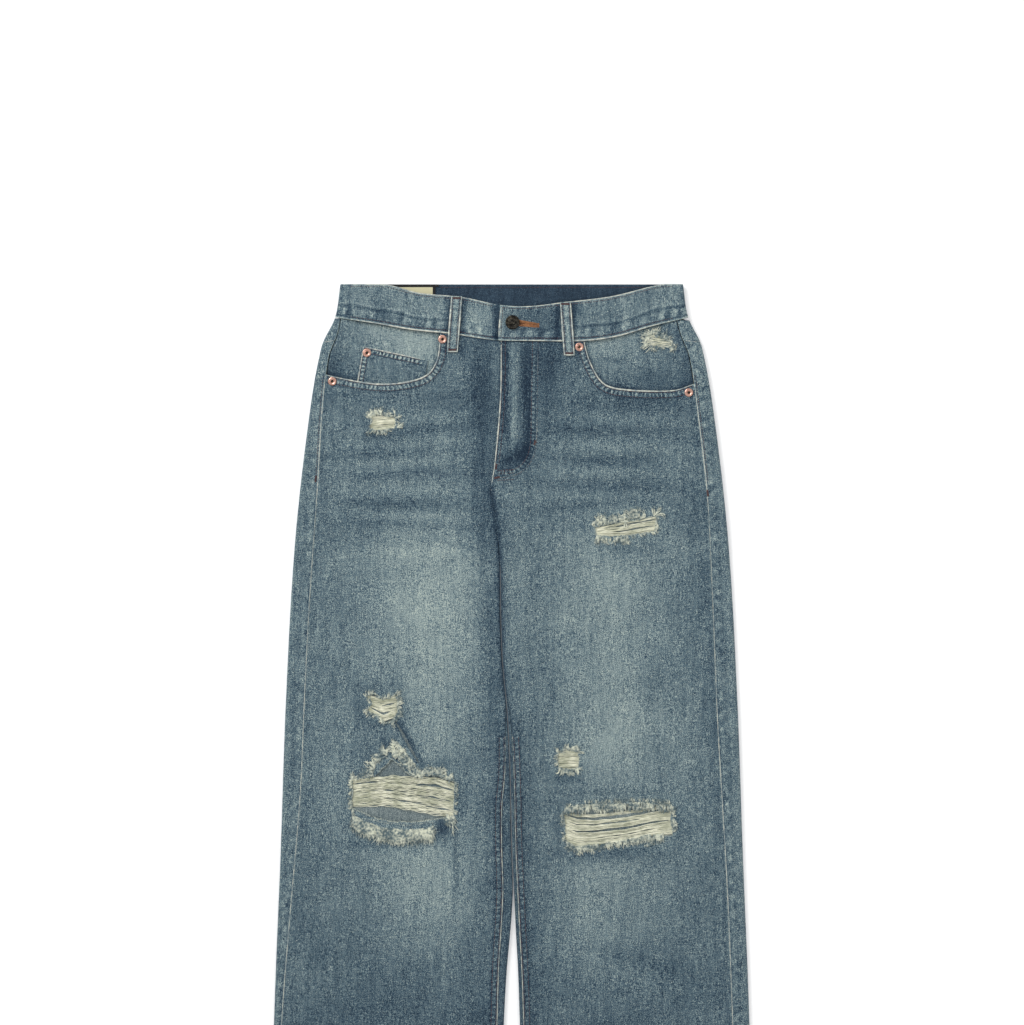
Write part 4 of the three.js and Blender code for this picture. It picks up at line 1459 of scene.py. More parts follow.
RIPS = [
    Rip("thigh_left", Side.LEFT, (
        (-164, 365), (-156, 368), (-146, 366), (-137, 366), (-135, 359), (-137, 353), (-148, 352),
        (-158, 350), (-166, 354), (-162, 360),
    ), 21, ((-166, 366), (-135, 366)), ((-166, 350), (-135, 352)), sway=0.6, bundles=2),
    Rip("thigh_right", Side.RIGHT, (
        (97, 237), (110, 240), (145, 245), (168, 250), (167, 233), (140, 229), (118, 227), (99, 228),
    ), 22, ((97, 236), (125, 241), (168, 250)), ((97, 227), (135, 227), (168, 232)),
        (Slit(0.45, 106, 160, 0.7), Slit(0.8, 120, 166, 0.7)), sway=0.7, bundles=3),
    Rip("knee_left_upper", Side.LEFT, (
        (-168, 40), (-159, 43), (-150, 36), (-141, 39), (-132, 44), (-134, 32), (-133, 22), (-139, 12),
        (-147, 9), (-156, 18), (-169, 24), (-162, 31),
    ), 23, ((-168, 41), (-150, 38), (-133, 43)), ((-168, 24), (-150, 12), (-133, 16)),
        (Slit(0.3, -164, -142, 1.4), Slit(0.66, -152, -136, 0.9)), sway=0.9, bundles=3),
    Rip("knee_left", Side.LEFT, (
        (-185, -57), (-160, -54), (-139, -33), (-118, -53), (-90, -52), (-67, -60), (-68, -99), (-92, -103),
        (-118, -106), (-143, -105), (-162, -100), (-185, -90),
    ), 24, ((-185, -58), (-160, -55), (-139, -52), (-112, -56), (-90, -54), (-67, -62)),
        ((-185, -88), (-160, -88), (-143, -88), (-118, -91), (-92, -98), (-67, -100)), (
        Slit(0.86, -184, -146, 1.1), Slit(0.80, -112, -68, 1.5), Slit(0.55, -160, -118, 0.6),
        Slit(0.45, -108, -70, 0.8), Slit(0.26, -150, -104, 0.7), Slit(0.2, -100, -70, 1.0),
    ), sway=1.7, bundles=5.5, pitch=0.86),
    Rip("knee_right_upper", Side.RIGHT, (
        (54, -24), (66, -23), (77, -24), (78, -34), (77, -44), (66, -44), (55, -44), (54, -34),
    ), 25, ((54, -23), (78, -23)), ((54, -45), (78, -44)), sway=0.4, bundles=3),
    Rip("knee_right", Side.RIGHT, (
        (62, -94), (75, -88), (110, -87), (150, -85), (184, -88), (187, -121), (152, -124), (133, -129),
        (105, -133), (74, -137), (63, -127),
    ), 26, ((61, -93), (76, -98), (96, -99.5), (125, -96), (150, -93), (187, -86)),
        ((61, -131), (76, -135), (105, -132), (133, -128), (152, -124), (187, -120)),
        (
            Slit(0.90, 61, 186, 2.0), Slit(0.48, 70, 184, 1.7), Slit(0.70, 64, 150, 0.9),
            Slit(0.24, 92, 170, 0.8),
        ),
        sway=0.7, bundles=5),
]
TEAR = lens((-139, 18), (-106, -41), 2.6, 3.8)


# ---- cloth panels


def flat_panel(mesh: Any, points: Array, wear_and_shade: Array, fray: Array | None = None) -> None:
    """Gives a mesh its laid-out points and what its material reads: its tone, which holds painted shade as
    well as the wash, and its fray.
    """
    move_points(mesh, points * MM)
    keep_number(mesh, "wear_and_shade", wear_and_shade)
    keep_number(mesh, "fray", np.zeros(len(wear_and_shade)) if fray is None else fray)


def box_slab(low: Pair, high: Pair, pitch: float) -> Any:
    """A flat slab mesh over a box, in squares of about a pitch, in millimetres."""
    columns = max(2, int((high[0] - low[0]) / pitch))
    rows = max(2, int((high[1] - low[1]) / pitch))
    bm = slab(columns, rows)
    bmesh.ops.scale(bm, verts=bm.verts[:], vec=(high[0] - low[0], high[1] - low[1], 1))
    bmesh.ops.translate(bm, verts=bm.verts[:], vec=(low[0], low[1], 0))
    return mesh_of(bm, "slab")


def patch_slab(outline: Outline, pitch: float) -> Any:
    """A flat slab mesh inside an outline, in millimetres."""
    xs = [x for x, _ in outline]
    ys = [y for _, y in outline]
    blank = box_slab((min(xs) - 1, min(ys) - 1), (max(xs) + 1, max(ys) + 1), pitch)
    return cut(blank, [outline], keep=True)


def waist_cutter() -> Outline:
    """What is cut off the panels along the waist seam."""
    xs = np.linspace(-216, 216, 37)
    seam = BAND_LOWER(np.clip(xs, -BAND_END, BAND_END)) - 2 * GAP
    return [*zip(xs.tolist(), seam.tolist()), (216.0, 560.0), (-216.0, 560.0)]


@dataclass
class FrontPanel(Part):
    """A trouser front, from the waistband to the hem, with its pocket mouth and rips."""

    side: Side
    pitch: float = 3.0
    top: float = 490.0

    def build(self, wardrobe: Wardrobe) -> None:
        """Cuts, lays and dresses the panel."""
        mesh = cut(self._blank(), self._holes())
        flat = mark_skins(mesh)
        x, y, depth = flat[:, 0], flat[:, 1], -flat[:, 2] * CLOTH
        leg = LEGS[self.side]
        laid = leg.inner_point(y, leg.sign * (leg.inner_tangent(y) - x), depth)
        tone = front_wear_and_shade(x, y)
        for seam in SEAMS:
            tone = tone + seam.wear_and_shade(x, y)
        fray = self._fray(x, y)
        flat_panel(mesh, laid, tone, fray)
        mark_sewn(mesh, x, y)
        name = f"front_panel_{self.side.word}"
        add_cloth(wardrobe, name, mesh, Sheet(285, 985, 0.83), [f"back_panel_{self.side.word}"])

    def _blank(self) -> Any:
        """The uncut panel, flat."""
        bottom = HEM + HEM_DEPTH + GAP
        mesh = mesh_of(slab(int(260 / self.pitch), int((self.top - bottom) / self.pitch)), "front_blank")
        flat = points_of(mesh)
        leg = LEGS[self.side]
        y = mix(bottom, self.top, flat[:, 1])
        lap = LAP * ramp(y, 215, 250) if self.side is Side.LEFT else 0
        start = leg.sign * (seam_x(self.side, y) - GAP / 2)
        end = leg.inner_tangent(y) - leg.sign * (leg.seam_reach(y) + lap - GAP / 2)
        across = flat[:, 0] if self.side is Side.LEFT else 1 - flat[:, 0]
        move_points(mesh, xyz(mix(start, end, across), y, flat[:, 2]))
        return mesh

    def _holes(self) -> list[Outline]:
        """What is cut out of it."""
        sign = self.side.value
        mouth = [tuple(point) for point in MOUTH[self.side].points.tolist()]
        holes = [[*mouth, (sign * 260, 430), (sign * 260, 540), (mouth[0][0], 540)], waist_cutter()]
        holes += [rip.outline for rip in RIPS if rip.side is self.side]
        if self.side is Side.LEFT:
            holes.append(ragged(TEAR, 2.5, 0.6, 31))
        return holes

    def _fray(self, x: Array, y: Array) -> Array:
        """How frayed the cloth is at each point, from 0 to 1."""
        total = np.zeros(len(x))
        for rip in RIPS:
            gap = Path(closed(rip.hole)).near(x, y)[0]
            reach = 2.4 + 1.2 * mottle(x, y, 9, rip.seed)
            total = total + 0.8 * ramp(gap, np.maximum(reach, 1.0), 0.2)
        return np.clip(total + 0.6 * TornFlap().shade(x, y), 0, 1)


@dataclass
class BackPart(Part):
    """A piece that wraps from the side seam round under the leg to the inseam or the centre back."""

    side: Side
    name: str
    sheet: Sheet
    columns: tuple[int, int, int] = (16, 40, 14)
    pitch: float = 5.0

    def span(self, inwards: Array) -> tuple[Array, Array]:
        """Its lower and upper edge at each share of the way to the middle."""
        seam = mix(YOKE_SEAM[0], YOKE_SEAM[1], inwards) - 1.5 * GAP
        return np.full(np.shape(inwards), HEM + HEM_DEPTH + GAP), seam

    def build(self, wardrobe: Wardrobe) -> None:
        """Lays and dresses the piece."""
        low, high = self.span(np.array([0.5]))
        rows = max(4, int(float(high[0] - low[0]) / self.pitch))
        mesh = mesh_of(slab(sum(self.columns), rows), "back_blank")
        flat = mark_skins(mesh)
        share, depth = flat[:, 0], -flat[:, 2] * CLOTH
        edges = np.cumsum([0, *self.columns]) / sum(self.columns)
        inwards = np.clip((share - edges[1]) / (edges[2] - edges[1]), 0, 1)
        low, high = self.span(inwards)
        y = mix(low, high, flat[:, 1])
        laid = self._lay(share, edges, y, depth)
        flat_panel(mesh, laid, self.wear_and_shade(laid, y, share < edges[1]))
        mark_sewn(mesh, np.where(laid[:, 2] > FOLD, laid[:, 0], 900.0), y)
        add_cloth(wardrobe, self.name, mesh, self.sheet)

    def _lay(self, share: Array, edges: Array, y: Array, depth: Array) -> Array:
        """Where its points lie, by their share of the way round."""
        leg = LEGS[self.side]
        half = math.pi * FOLD
        seam = seam_x(self.side, y) + GAP / 2
        on_top = np.maximum(np.abs(leg.outer_tangent(y)) - seam, -4)
        outer = leg.outer_point(y, (half + on_top) * (1 - share / edges[1]), depth)
        fold = leg.inner_fold(y)
        end = mix(math.pi * fold - INSEAM_ROLL[self.side](y) - GAP, fold, openness(y))
        start = np.minimum(0, end - 6)
        tangent = leg.inner_edge_behind(y) + leg.sign * (fold - start)
        under = np.clip((share - edges[1]) / (edges[2] - edges[1]), 0, 1)
        x = mix(leg.outer_tangent(y), tangent, under)
        dent = back_relief(x, y) * ramp(under, 0, 0.06) * ramp(under, 1, 0.94)
        level = xyz(x, y, ground(y) + depth + dent * (1 - depth / CLOTH))
        turn = np.clip((share - edges[2]) / (edges[3] - edges[2]), 0, 1)
        inner = leg.inner_point_behind(y, mix(start, end, turn), depth)
        first = (share <= edges[1] + 1e-6)[:, None]
        last = (share >= edges[2] - 1e-6)[:, None]
        return np.where(first, outer, np.where(last, inner, level))

    def wear_and_shade(self, laid: Array, y: Array, on_strip: Array) -> Array:
        """How pale it is at each point, with painted shade where the back shows beside the parting between
        the legs.
        """
        x = laid[:, 0]
        tone = back_wear(x, y)
        strip = np.full(len(x), 0.51) + 0.03 * mottle(x, y, 40, 8) - 0.06 * ramp(y, -150, -420)
        for seam in SEAMS:
            strip = strip + seam.wear_and_shade(x, y)
        # Painted shade: the back is made darker where it shows beside the parting between the legs.
        between = (np.abs(x - VALLEY(y)) < 22) & (laid[:, 2] > FOLD) & ~on_strip
        return np.where(on_strip | between, strip - 0.20 * between, tone)


@dataclass
class YokePart(BackPart):
    """The yoke, between the back panel and the waistband."""

    def span(self, inwards: Array) -> tuple[Array, Array]:
        """Its lower and upper edge at each share of the way to the middle."""
        corner = self.side.value * SIDE_SEAM[self.side](478)
        seam = BAND_LOWER(np.clip(corner, -BAND_END, BAND_END)) - 0.8 * GAP
        upper = mix(seam, BAND_BACK_LOWER - 2 * GAP, ramp(inwards, 0, 0.03))
        return mix(YOKE_SEAM[0], YOKE_SEAM[1], inwards), upper


# centre, radii, strength, lean
BACK_FADES = [Fade(*row) for row in (
    ((-105, 300), (70, 80), 0.14), ((105, 300), (70, 80), 0.14), ((-120, 90), (80, 110), 0.08),
    ((120, 90), (80, 110), 0.08), ((-130, -60), (100, 14), -0.07, 4), ((-130, -92), (100, 12), 0.08, -3),
    ((-130, -122), (95, 10), -0.06, 3), ((130, -66), (100, 14), -0.07, -4),
    ((130, -96), (100, 12), 0.08, 3), ((130, -126), (95, 10), -0.06, -3), ((-140, -320), (80, 130), -0.05),
    ((140, -320), (80, 130), -0.05), ((-100, 440), (70, 24), 0.06), ((100, 440), (70, 24), 0.06),
)]
# start, end, width, height
BACK_CREASES = [Crease(*row) for row in (
    ((-220, -70), (-50, -52), 8, 0.5), ((-225, -104), (-40, -90), 7, 0.45),
    ((-215, -136), (-60, -128), 8, 0.4), ((50, -56), (222, -72), 8, 0.5), ((40, -92), (226, -106), 7, 0.45),
    ((60, -130), (214, -138), 8, 0.4), ((-190, 190), (-40, 214), 9, 0.5), ((40, 212), (190, 188), 9, 0.5),
    ((-180, 160), (-60, 176), 8, 0.4), ((60, 176), (180, 158), 8, 0.4),
    ((-230, -380), (-80, -350), 12, 0.4), ((90, -356), (230, -386), 12, 0.4),
)]


def yoke_line(side: Side, across: float = 0.0) -> Path:
    """The seam under the yoke, on the back."""
    return Path([(side.value * 217, YOKE_SEAM[0] + across), (0, YOKE_SEAM[1] + across)])


def seat_seam() -> Path:
    """The seam up the middle of the seat."""
    return line_of(CENTRE_BACK, 481, 205, 40)


def back_pocket_corners(side: Side, inset_by: float = 0.0) -> Outline:
    """A back pocket's outline, or a smaller one inside it."""
    width, height, middle, top, tilt = 150.0, 160.0, 98.0, 408.0, math.radians(4)
    half = width / 2 - inset_by
    low = height - inset_by
    corner = height - 28 - inset_by * 0.6
    corners = [(-half, -inset_by), (half, -inset_by), (half - 8, -corner), (0, -low), (8 - half, -corner)]
    turned = side.value * tilt
    c, s = math.cos(turned), math.sin(turned)
    return [(side.value * middle + x * c - y * s, top + x * s + y * c) for x, y in corners]


def back_seams() -> list[Seam]:
    """The doubled strips on the back."""
    seams = [Seam(seat_seam(), 1, 9.0, 0.0, 0.0, 9.0, 12, 0.10, 0.16)]
    for side in Side:
        seams.append(Seam(yoke_line(side), side.value, 9.0, 0.0, 0.0, 9.0, 13 + side.value, 0.10, 0.16))
        rim = Path(closed(back_pocket_corners(side)))
        seams.append(Seam(rim, 1, 3.0, 0.0, 0.0, 7.0, 17 + side.value, 0.12, -0.12))
    return seams


BACK_SEAMS = back_seams()


def back_wear(x: Array, y: Array) -> Array:
    """How pale the back is at each point."""
    tone = np.full(np.shape(x), 0.43)
    for patch in BACK_FADES:
        tone = tone + patch.of(x, y)
    for seam in BACK_SEAMS:
        tone = tone + seam.wear_and_shade(x, y)
    return tone + 0.03 * mottle(x, y, 50, 14)


def back_relief(x: Array, y: Array) -> Array:
    """How far the back's creases rise off what it lies on, at each point."""
    height = np.zeros(np.shape(x))
    for crease in BACK_CREASES:
        height = height + crease.of(x, y)
    return np.clip(height + 0.1 * mottle(x, y, 60, 15), 0, 0.6)


@dataclass
class HemBand(Part):
    """The doubled hem round the end of a leg."""

    side: Side
    columns: int = 200
    rows: int = 6

    def build(self, wardrobe: Wardrobe) -> None:
        """Lays and dresses the hem."""
        bm = slab(self.columns, self.rows)
        ends = [f for f in bm.faces if abs(f.calc_center_median().x - 0.5) > 0.4999]
        bmesh.ops.delete(bm, geom=ends, context="FACES_ONLY")
        mesh = mesh_of(bm, "hem_blank")
        flat = mark_skins(mesh)
        leg = LEGS[self.side]
        y = HEM + HEM_DEPTH * flat[:, 1]
        depth = -flat[:, 2] * DOUBLE
        laid = self._lay(leg, flat[:, 0], y, depth)
        laid[:, 2] += 0.25 * ripple(laid[:, 0], 12, 4) * np.sin(np.pi * flat[:, 1]) * (laid[:, 2] > FOLD)
        flat_panel(mesh, laid, self._tone(laid[:, 0], flat[:, 1]))
        bm = bmesh.new()
        bm.from_mesh(mesh)
        bmesh.ops.remove_doubles(bm, verts=bm.verts[:], dist=1e-6)
        bm.to_mesh(mesh)
        bm.free()
        add_cloth(wardrobe, f"hem_{self.side.word}", mesh, Sheet(530, HEM_DEPTH))

    def _lay(self, leg: Leg, share: Array, y: Array, depth: Array) -> Array:
        """Where its points lie, by their share of the way round."""
        outer = leg.outer_tangent(y)
        inner = leg.inner_tangent(y)
        round_out = leg.outer_point(y, math.pi * FOLD * np.clip(share / 0.06, 0, 1), depth)
        over_x = mix(outer, inner, np.clip((share - 0.06) / 0.44, 0, 1))
        over = xyz(over_x, y, leg.top(over_x, y) - depth)
        turn = np.clip((share - 0.5) / 0.06, 0, 1)
        round_in = leg.inner_point(y, math.pi * leg.inner_fold(y) * turn, depth)
        under_x = mix(inner, outer, np.clip((share - 0.56) / 0.44, 0, 1))
        under = xyz(under_x, y, ground(y) + depth)
        stages = [share <= 0.06, share <= 0.5, share <= 0.56]
        return np.select([stage[:, None] for stage in stages], [round_out, over, round_in], under)

    def _tone(self, x: Array, down: Array) -> Array:
        """How pale it is at each point: roped across, and pale on its lower edge."""
        ropes = 0.17 * ripple(x + down * 14, 13, 6 + self.side.value)
        return 0.44 + ropes + 0.24 * bell(down, 0.1) + 0.12 * bell(down - 1, 0.08)


@dataclass
class BackPocket(Part):
    """A patch pocket on the seat."""

    side: Side
    pitch: float = 4.0

    def build(self, wardrobe: Wardrobe) -> None:
        """Cuts, lays and dresses the pocket."""
        outline = back_pocket_corners(self.side)
        mesh = patch_slab(outline, self.pitch)
        flat = mark_skins(mesh)
        x, y = flat[:, 0], flat[:, 1]
        gap, place, _ = Path(closed(outline)).near(x, y)
        dent = 0.25 * np.clip(mottle(x, y, 34, 5), 0, 1) * ramp(gap, 2, 14)
        z = mix(dent, CLOTH, -flat[:, 2])
        tone = 0.47 + 0.10 * ramp(gap, 6, 40) + 0.02 * mottle(x, y, 40, 6)
        tone = tone + 0.15 * ramp(gap, 8, 3) * ripple(place, 8, 3) + 0.24 * bell(gap, 1.3)
        flat_panel(mesh, xyz(x, y, z), tone)
        mesh.flip_normals()
        name = f"back_pocket_{self.side.word}"
        add_cloth(wardrobe, name, mesh, Sheet(150, 160, 0.88))


# ---- front pockets

FACING_DEPTH = {Side.LEFT: 2 * CLOTH + 2 * GAP + 0.1, Side.RIGHT: CLOTH + 2 * GAP}


def facing_top(side: Side) -> Height:
    """Height of a pocket facing's outer skin: it sinks from the side seam to under the pocket mouth."""

    def height(x: Any, y: Any) -> Any:
        """The height at a place."""
        level = 1 - ramp(seam_x(side, y) - np.abs(x), 0, 26)
        sunk = FACING_DEPTH[side] * (1 - level * ramp(y, 416, 436))
        soft = 0.35 * mottle(x, y, 40, 17) * ramp(level, 1, 0.4)
        return LEGS[side].top(x, y, relief=False) - sunk - 0.35 + soft * 0.5

    return height


@dataclass
class PocketFacing(Part):
    """The cloth that shows inside a pocket's mouth."""

    side: Side
    pitch: float = 3.0

    def build(self, wardrobe: Wardrobe) -> None:
        """Cuts, lays and dresses the facing."""
        sign = self.side.value
        levels = (482, 472, 463, 454, 440, 424, 412, 404)
        seam = [(sign * float(SIDE_SEAM[self.side](y) - 3 * GAP), y) for y in levels]
        mouth = [tuple(p) for p in MOUTH[self.side].points[::4].tolist() if abs(p[0]) < 200]
        tucked = [(x - sign * 9, y - 9) for x, y in mouth if y - 9 < 455]
        outline = [(sign * 76.0, 490.0), *seam, *reversed(tucked)]
        if self.side is Side.LEFT:
            outline.reverse()
        mesh = cut(patch_slab(outline, self.pitch), [waist_cutter()])
        flat = mark_skins(mesh)
        x, y = flat[:, 0], flat[:, 1]
        z = facing_top(self.side)(x, y) + flat[:, 2] * CLOTH
        base = 0.63 if self.side is Side.LEFT else 0.44
        tone = base + 0.03 * mottle(x, y, 30, 7) + self._tone(x, y)
        flat_panel(mesh, xyz(x, y, z), tone)
        word = self.side.word
        sheet = Sheet(126, 84, 0.8)
        add_cloth(wardrobe, f"pocket_facing_{word}", mesh, sheet, [f"yoke_{word}"])

    def _tone(self, x: Array, y: Array) -> Array:
        """Painted shade along the mouth, where the front's edge stands over the facing; a pale rub by the
        rivet and one under the waistband; darker lower down and towards the side seam.
        """
        gap = MOUTH[self.side].near(x, y)[0]
        # Painted shade under the edge of the pocket mouth.
        tone = -0.16 * ramp(gap, 7, 0)
        if self.side is Side.LEFT:
            low = 0.24 * ramp(y, 456, 408) * ramp(x, -120, -185) + 0.1 * ramp(x, -150, -185)
            return tone + 0.12 * bell(np.hypot(x + 108, y - 450), 34) - 0.10 * ramp(x, -186, -206) - low
        low = 0.10 * ramp(y, 430, 400) + 0.2 * bell(y - 432 + 0.06 * (x - 117), 4) * bell(x - 117, 18)
        return tone + 0.22 * bell(np.hypot(x - 112, y - 450), 34) - 0.10 * ramp(x, 186, 203) - low


@dataclass
class CoinPocket(Part):
    """The small pocket behind the left pocket's mouth."""

    outline: tuple[Pair, ...] = ((-172.7, 447.8), (-97, 431.5), (-104, 398), (-181.5, 396))
    proud: float = 1.15

    def top(self, x: Any, y: Any) -> Any:
        """Height of its outer skin."""
        return facing_top(Side.LEFT)(x, y) + self.proud

    def edges(self) -> tuple[Path, Path]:
        """Its upper edge and its outer side."""
        return Path(self.outline[:2]), Path([self.outline[3], self.outline[0]])

    def build(self, wardrobe: Wardrobe) -> None:
        """Cuts, lays and dresses the pocket."""
        mesh = patch_slab(list(self.outline), 2.2)
        flat = mark_skins(mesh)
        x, y = flat[:, 0], flat[:, 1]
        z = self.top(x, y) + flat[:, 2] * 0.95
        top_edge, side_edge = self.edges()
        gap, place, _ = top_edge.near(x, y)
        side_gap, side_place, _ = side_edge.near(x, y)
        tone = 0.45 + 0.16 * bell(gap, 1.2) + 0.14 * bell(side_gap, 1.2)
        flat_panel(mesh, xyz(x, y, z), tone + 0.02 * mottle(x, y, 20, 3))
        along = np.where(gap < side_gap, place, side_place)
        keep_sewn(mesh, SEWN_REACH - 1.25 * np.minimum(gap, side_gap), along / 4.8, np.full(len(x), 1.5))
        add_cloth(wardrobe, "coin_pocket", mesh, Sheet(80, 44), ["pocket_facing_left"])


# ---- waistband, loops and label

LABEL_X = -116.0
LABEL_WIDTH = 62.0


def band_top(x: Any, side: Side) -> Any:
    """Height of the waistband's outer skin in front: the left end dives under the right one."""
    lap = -1.9 * ramp(x, -90, -32) if side is Side.LEFT else 0.8 * ramp(x, 90, 25)
    return LIFT + 2 * BAND_FOLD + lap


def band_relief(x: Any, down: Any) -> Any:
    """Puckers along the band's two edges, and its soft unevenness."""
    x = np.asarray(x, float)
    upper = ramp(down, 0.0, 0.1) * ramp(down, 0.34, 0.14) * (0.12 + 0.22 * ripple(x, 9, 3))
    lower = ramp(down, 1.0, 0.92) * ramp(down, 0.62, 0.82) * (0.2 + 0.34 * ripple(x, 10, 4))
    return upper + lower + 0.12 * mottle(x, down * 38, 30, 6)


def band_front(side: Side) -> Height:
    """Height of the front of the waistband at a place."""

    def height(x: Any, y: Any) -> Any:
        """The height at a place."""
        upper = np.minimum(BAND_UPPER(x), WAIST)
        down = np.clip((upper - y) / (upper - BAND_LOWER(x)), 0, 1)
        return band_top(x, side) + band_relief(x, down)

    return height


def band_line(down: float, start: float, end: float) -> Path:
    """A line along the front of the waistband, at a share of the way down."""
    return line_of(
        lambda x: mix(np.minimum(BAND_UPPER(x), WAIST), BAND_LOWER(x), down), start, end, 90, False
    )


@dataclass
class Waistband(Part):
    """The doubled band round the waist, lapped at the button."""

    columns: int = 330
    rows: int = 26
    under_end: float = 24.0
    over_end: float = -13.0
    stages: tuple[float, ...] = (0.27, 0.31, 0.69, 0.73)
    button: Pair = BUTTON_PLACE

    def build(self, wardrobe: Wardrobe) -> None:
        """Lays, cuts and dresses the band."""
        mesh = mesh_of(slab(self.columns, self.rows), "band_blank")
        mesh.materials.append(wardrobe.denim)
        mesh.materials.append(wardrobe.navy)
        flat = mark_skins(mesh)
        down, depth = 1 - flat[:, 1], -flat[:, 2] * DOUBLE
        laid = self._lay(flat[:, 0], down, depth)
        keep_number(mesh, "wear_and_shade", self._tone(flat[:, 0], laid[:, 0], down))
        keep_number(mesh, "fray", np.zeros(len(flat)))
        phase = (laid[:, 0] + 5 * ripple(laid[:, 0], 37, 2)) / 14
        keep_sewn(mesh, SEWN_REACH - 25 * (1 - down), phase, np.full(len(flat), 0.5))
        move_points(mesh, laid)
        low = float(band_top(0, Side.LEFT)) + GAP / 2
        mesh = cut(mesh, [self.buttonhole()], low=low, high=20)
        move_points(mesh, points_of(mesh) * MM)
        piece = add_piece(
            "denim_waistband", mesh, [wardrobe.denim, wardrobe.navy], ["waistband"]
        )
        lay_cloth(Sheet(838, 40, 0.97))

    def _lay(self, share: Array, down: Array, depth: Array) -> Array:
        """Where its points lie, by their share of the way round."""
        a, b, c, d = self.stages
        level = mix(WAIST, BAND_BACK_LOWER, down)
        tangent = HALF_WIDTH(level) - BAND_FOLD
        left_x = mix(self.under_end, -tangent, np.clip(share / a, 0, 1))
        right_x = mix(tangent, self.over_end - 3 * down, np.clip((share - d) / (1 - d), 0, 1))
        parts = []
        for x, side in ((left_x, Side.LEFT), (right_x, Side.RIGHT)):
            y = mix(np.minimum(BAND_UPPER(x), WAIST), BAND_LOWER(x), down)
            ripples = band_relief(x, down) * ramp(tangent - np.abs(x), 0, 12)
            if side is Side.LEFT:
                ripples = ripples * ramp(x, -26, -40)
            parts.append(xyz(x, y, band_top(x, side) - depth + ripples))
        turns = []
        for sign, turn in ((-1, 1 - (share - a) / (b - a)), (1, (share - c) / (d - c))):
            angle = math.pi * np.clip(turn, 0, 1)
            radius = BAND_FOLD - depth
            x = sign * (tangent + radius * np.sin(angle))
            turns.append(xyz(x, level, LIFT + BAND_FOLD - radius * np.cos(angle)))
        back_x = tangent * (2 * np.clip((share - b) / (c - b), 0, 1) - 1)
        back = xyz(back_x, level, LIFT + depth)
        stages = [share <= a, share <= b, share <= c, share <= d]
        return np.select([s[:, None] for s in stages], [parts[0], turns[0], back, turns[1]], parts[1])

    def _tone(self, share: Array, x: Array, down: Array) -> Array:
        """How pale it is at each point: roped along both edges, with painted shadows beside the front belt
        loops and on the under end beside the over end's edge, and darker about the buttonhole and over the
        back.
        """
        right = share > 0.5
        tone = np.where(right, 0.51, 0.53) + 0.04 * mottle(x, down * 38, 26, 3)
        knots = ripple(x + down * 9, 17, 4) * (0.7 + 0.6 * ripple(x, 43, 6))
        ropes = 0.20 * bell(down - 0.76, 0.14) * knots - 0.05 * bell(down - 0.84, 0.12)
        top_ropes = 0.12 * bell(down - 0.12, 0.1) * ripple(x, 9, 3)
        edges = 0.2 * bell(down, 0.035) + 0.2 * bell(down - 1, 0.04) - 0.22 * bell(down - 0.93, 0.025)
        line = 0.60 - 0.06 * ramp(np.abs(x), 120, 200) + 0.03 * ripple(x, 70, 5)
        ridge = 0.16 * bell(down - line, 0.03) - 0.20 * bell(down - line - 0.07, 0.04)
        ridge = ridge * ramp(np.abs(x), 60, 100)
        rub = 0.12 * bell(x + 50, 30) * bell(down - 0.5, 0.5) * (~right)
        # The over end's pale edge is worn; the dark band on the under end just left of it is a painted
        # shadow.
        lap = 0.20 * bell(x - self.over_end, 2) * right - 0.5 * bell(x - self.over_end + 4, 5) * (~right)
        in_front = [loop.upper[0] for loop in LOOPS if loop.in_front]
        # Painted shadows on the band to either side of the front belt loops.
        loop_shadows = sum(bell(np.abs(x - place + 3 * down) - 8.5, 4.5) for place in in_front)
        by_hole = bell(x - 30, 26) * bell(down - 0.45, 0.5) * right
        back = (share > self.stages[1]) & (share < self.stages[2])
        front = tone + ropes + top_ropes + edges + ridge + rub + lap - 0.36 * loop_shadows - 0.24 * by_hole
        return np.where(back, tone + ropes + edges - 0.12, front)

    def buttonhole(self) -> Outline:
        """The keyhole in the over end."""
        x, y = self.button
        eye = [math.radians(40 + 35 * i) for i in range(9)]
        return [*((x + 3 * math.cos(a), y + 3 * math.sin(a)) for a in eye), (29.5, 471.4), (29.5, 472.6)]


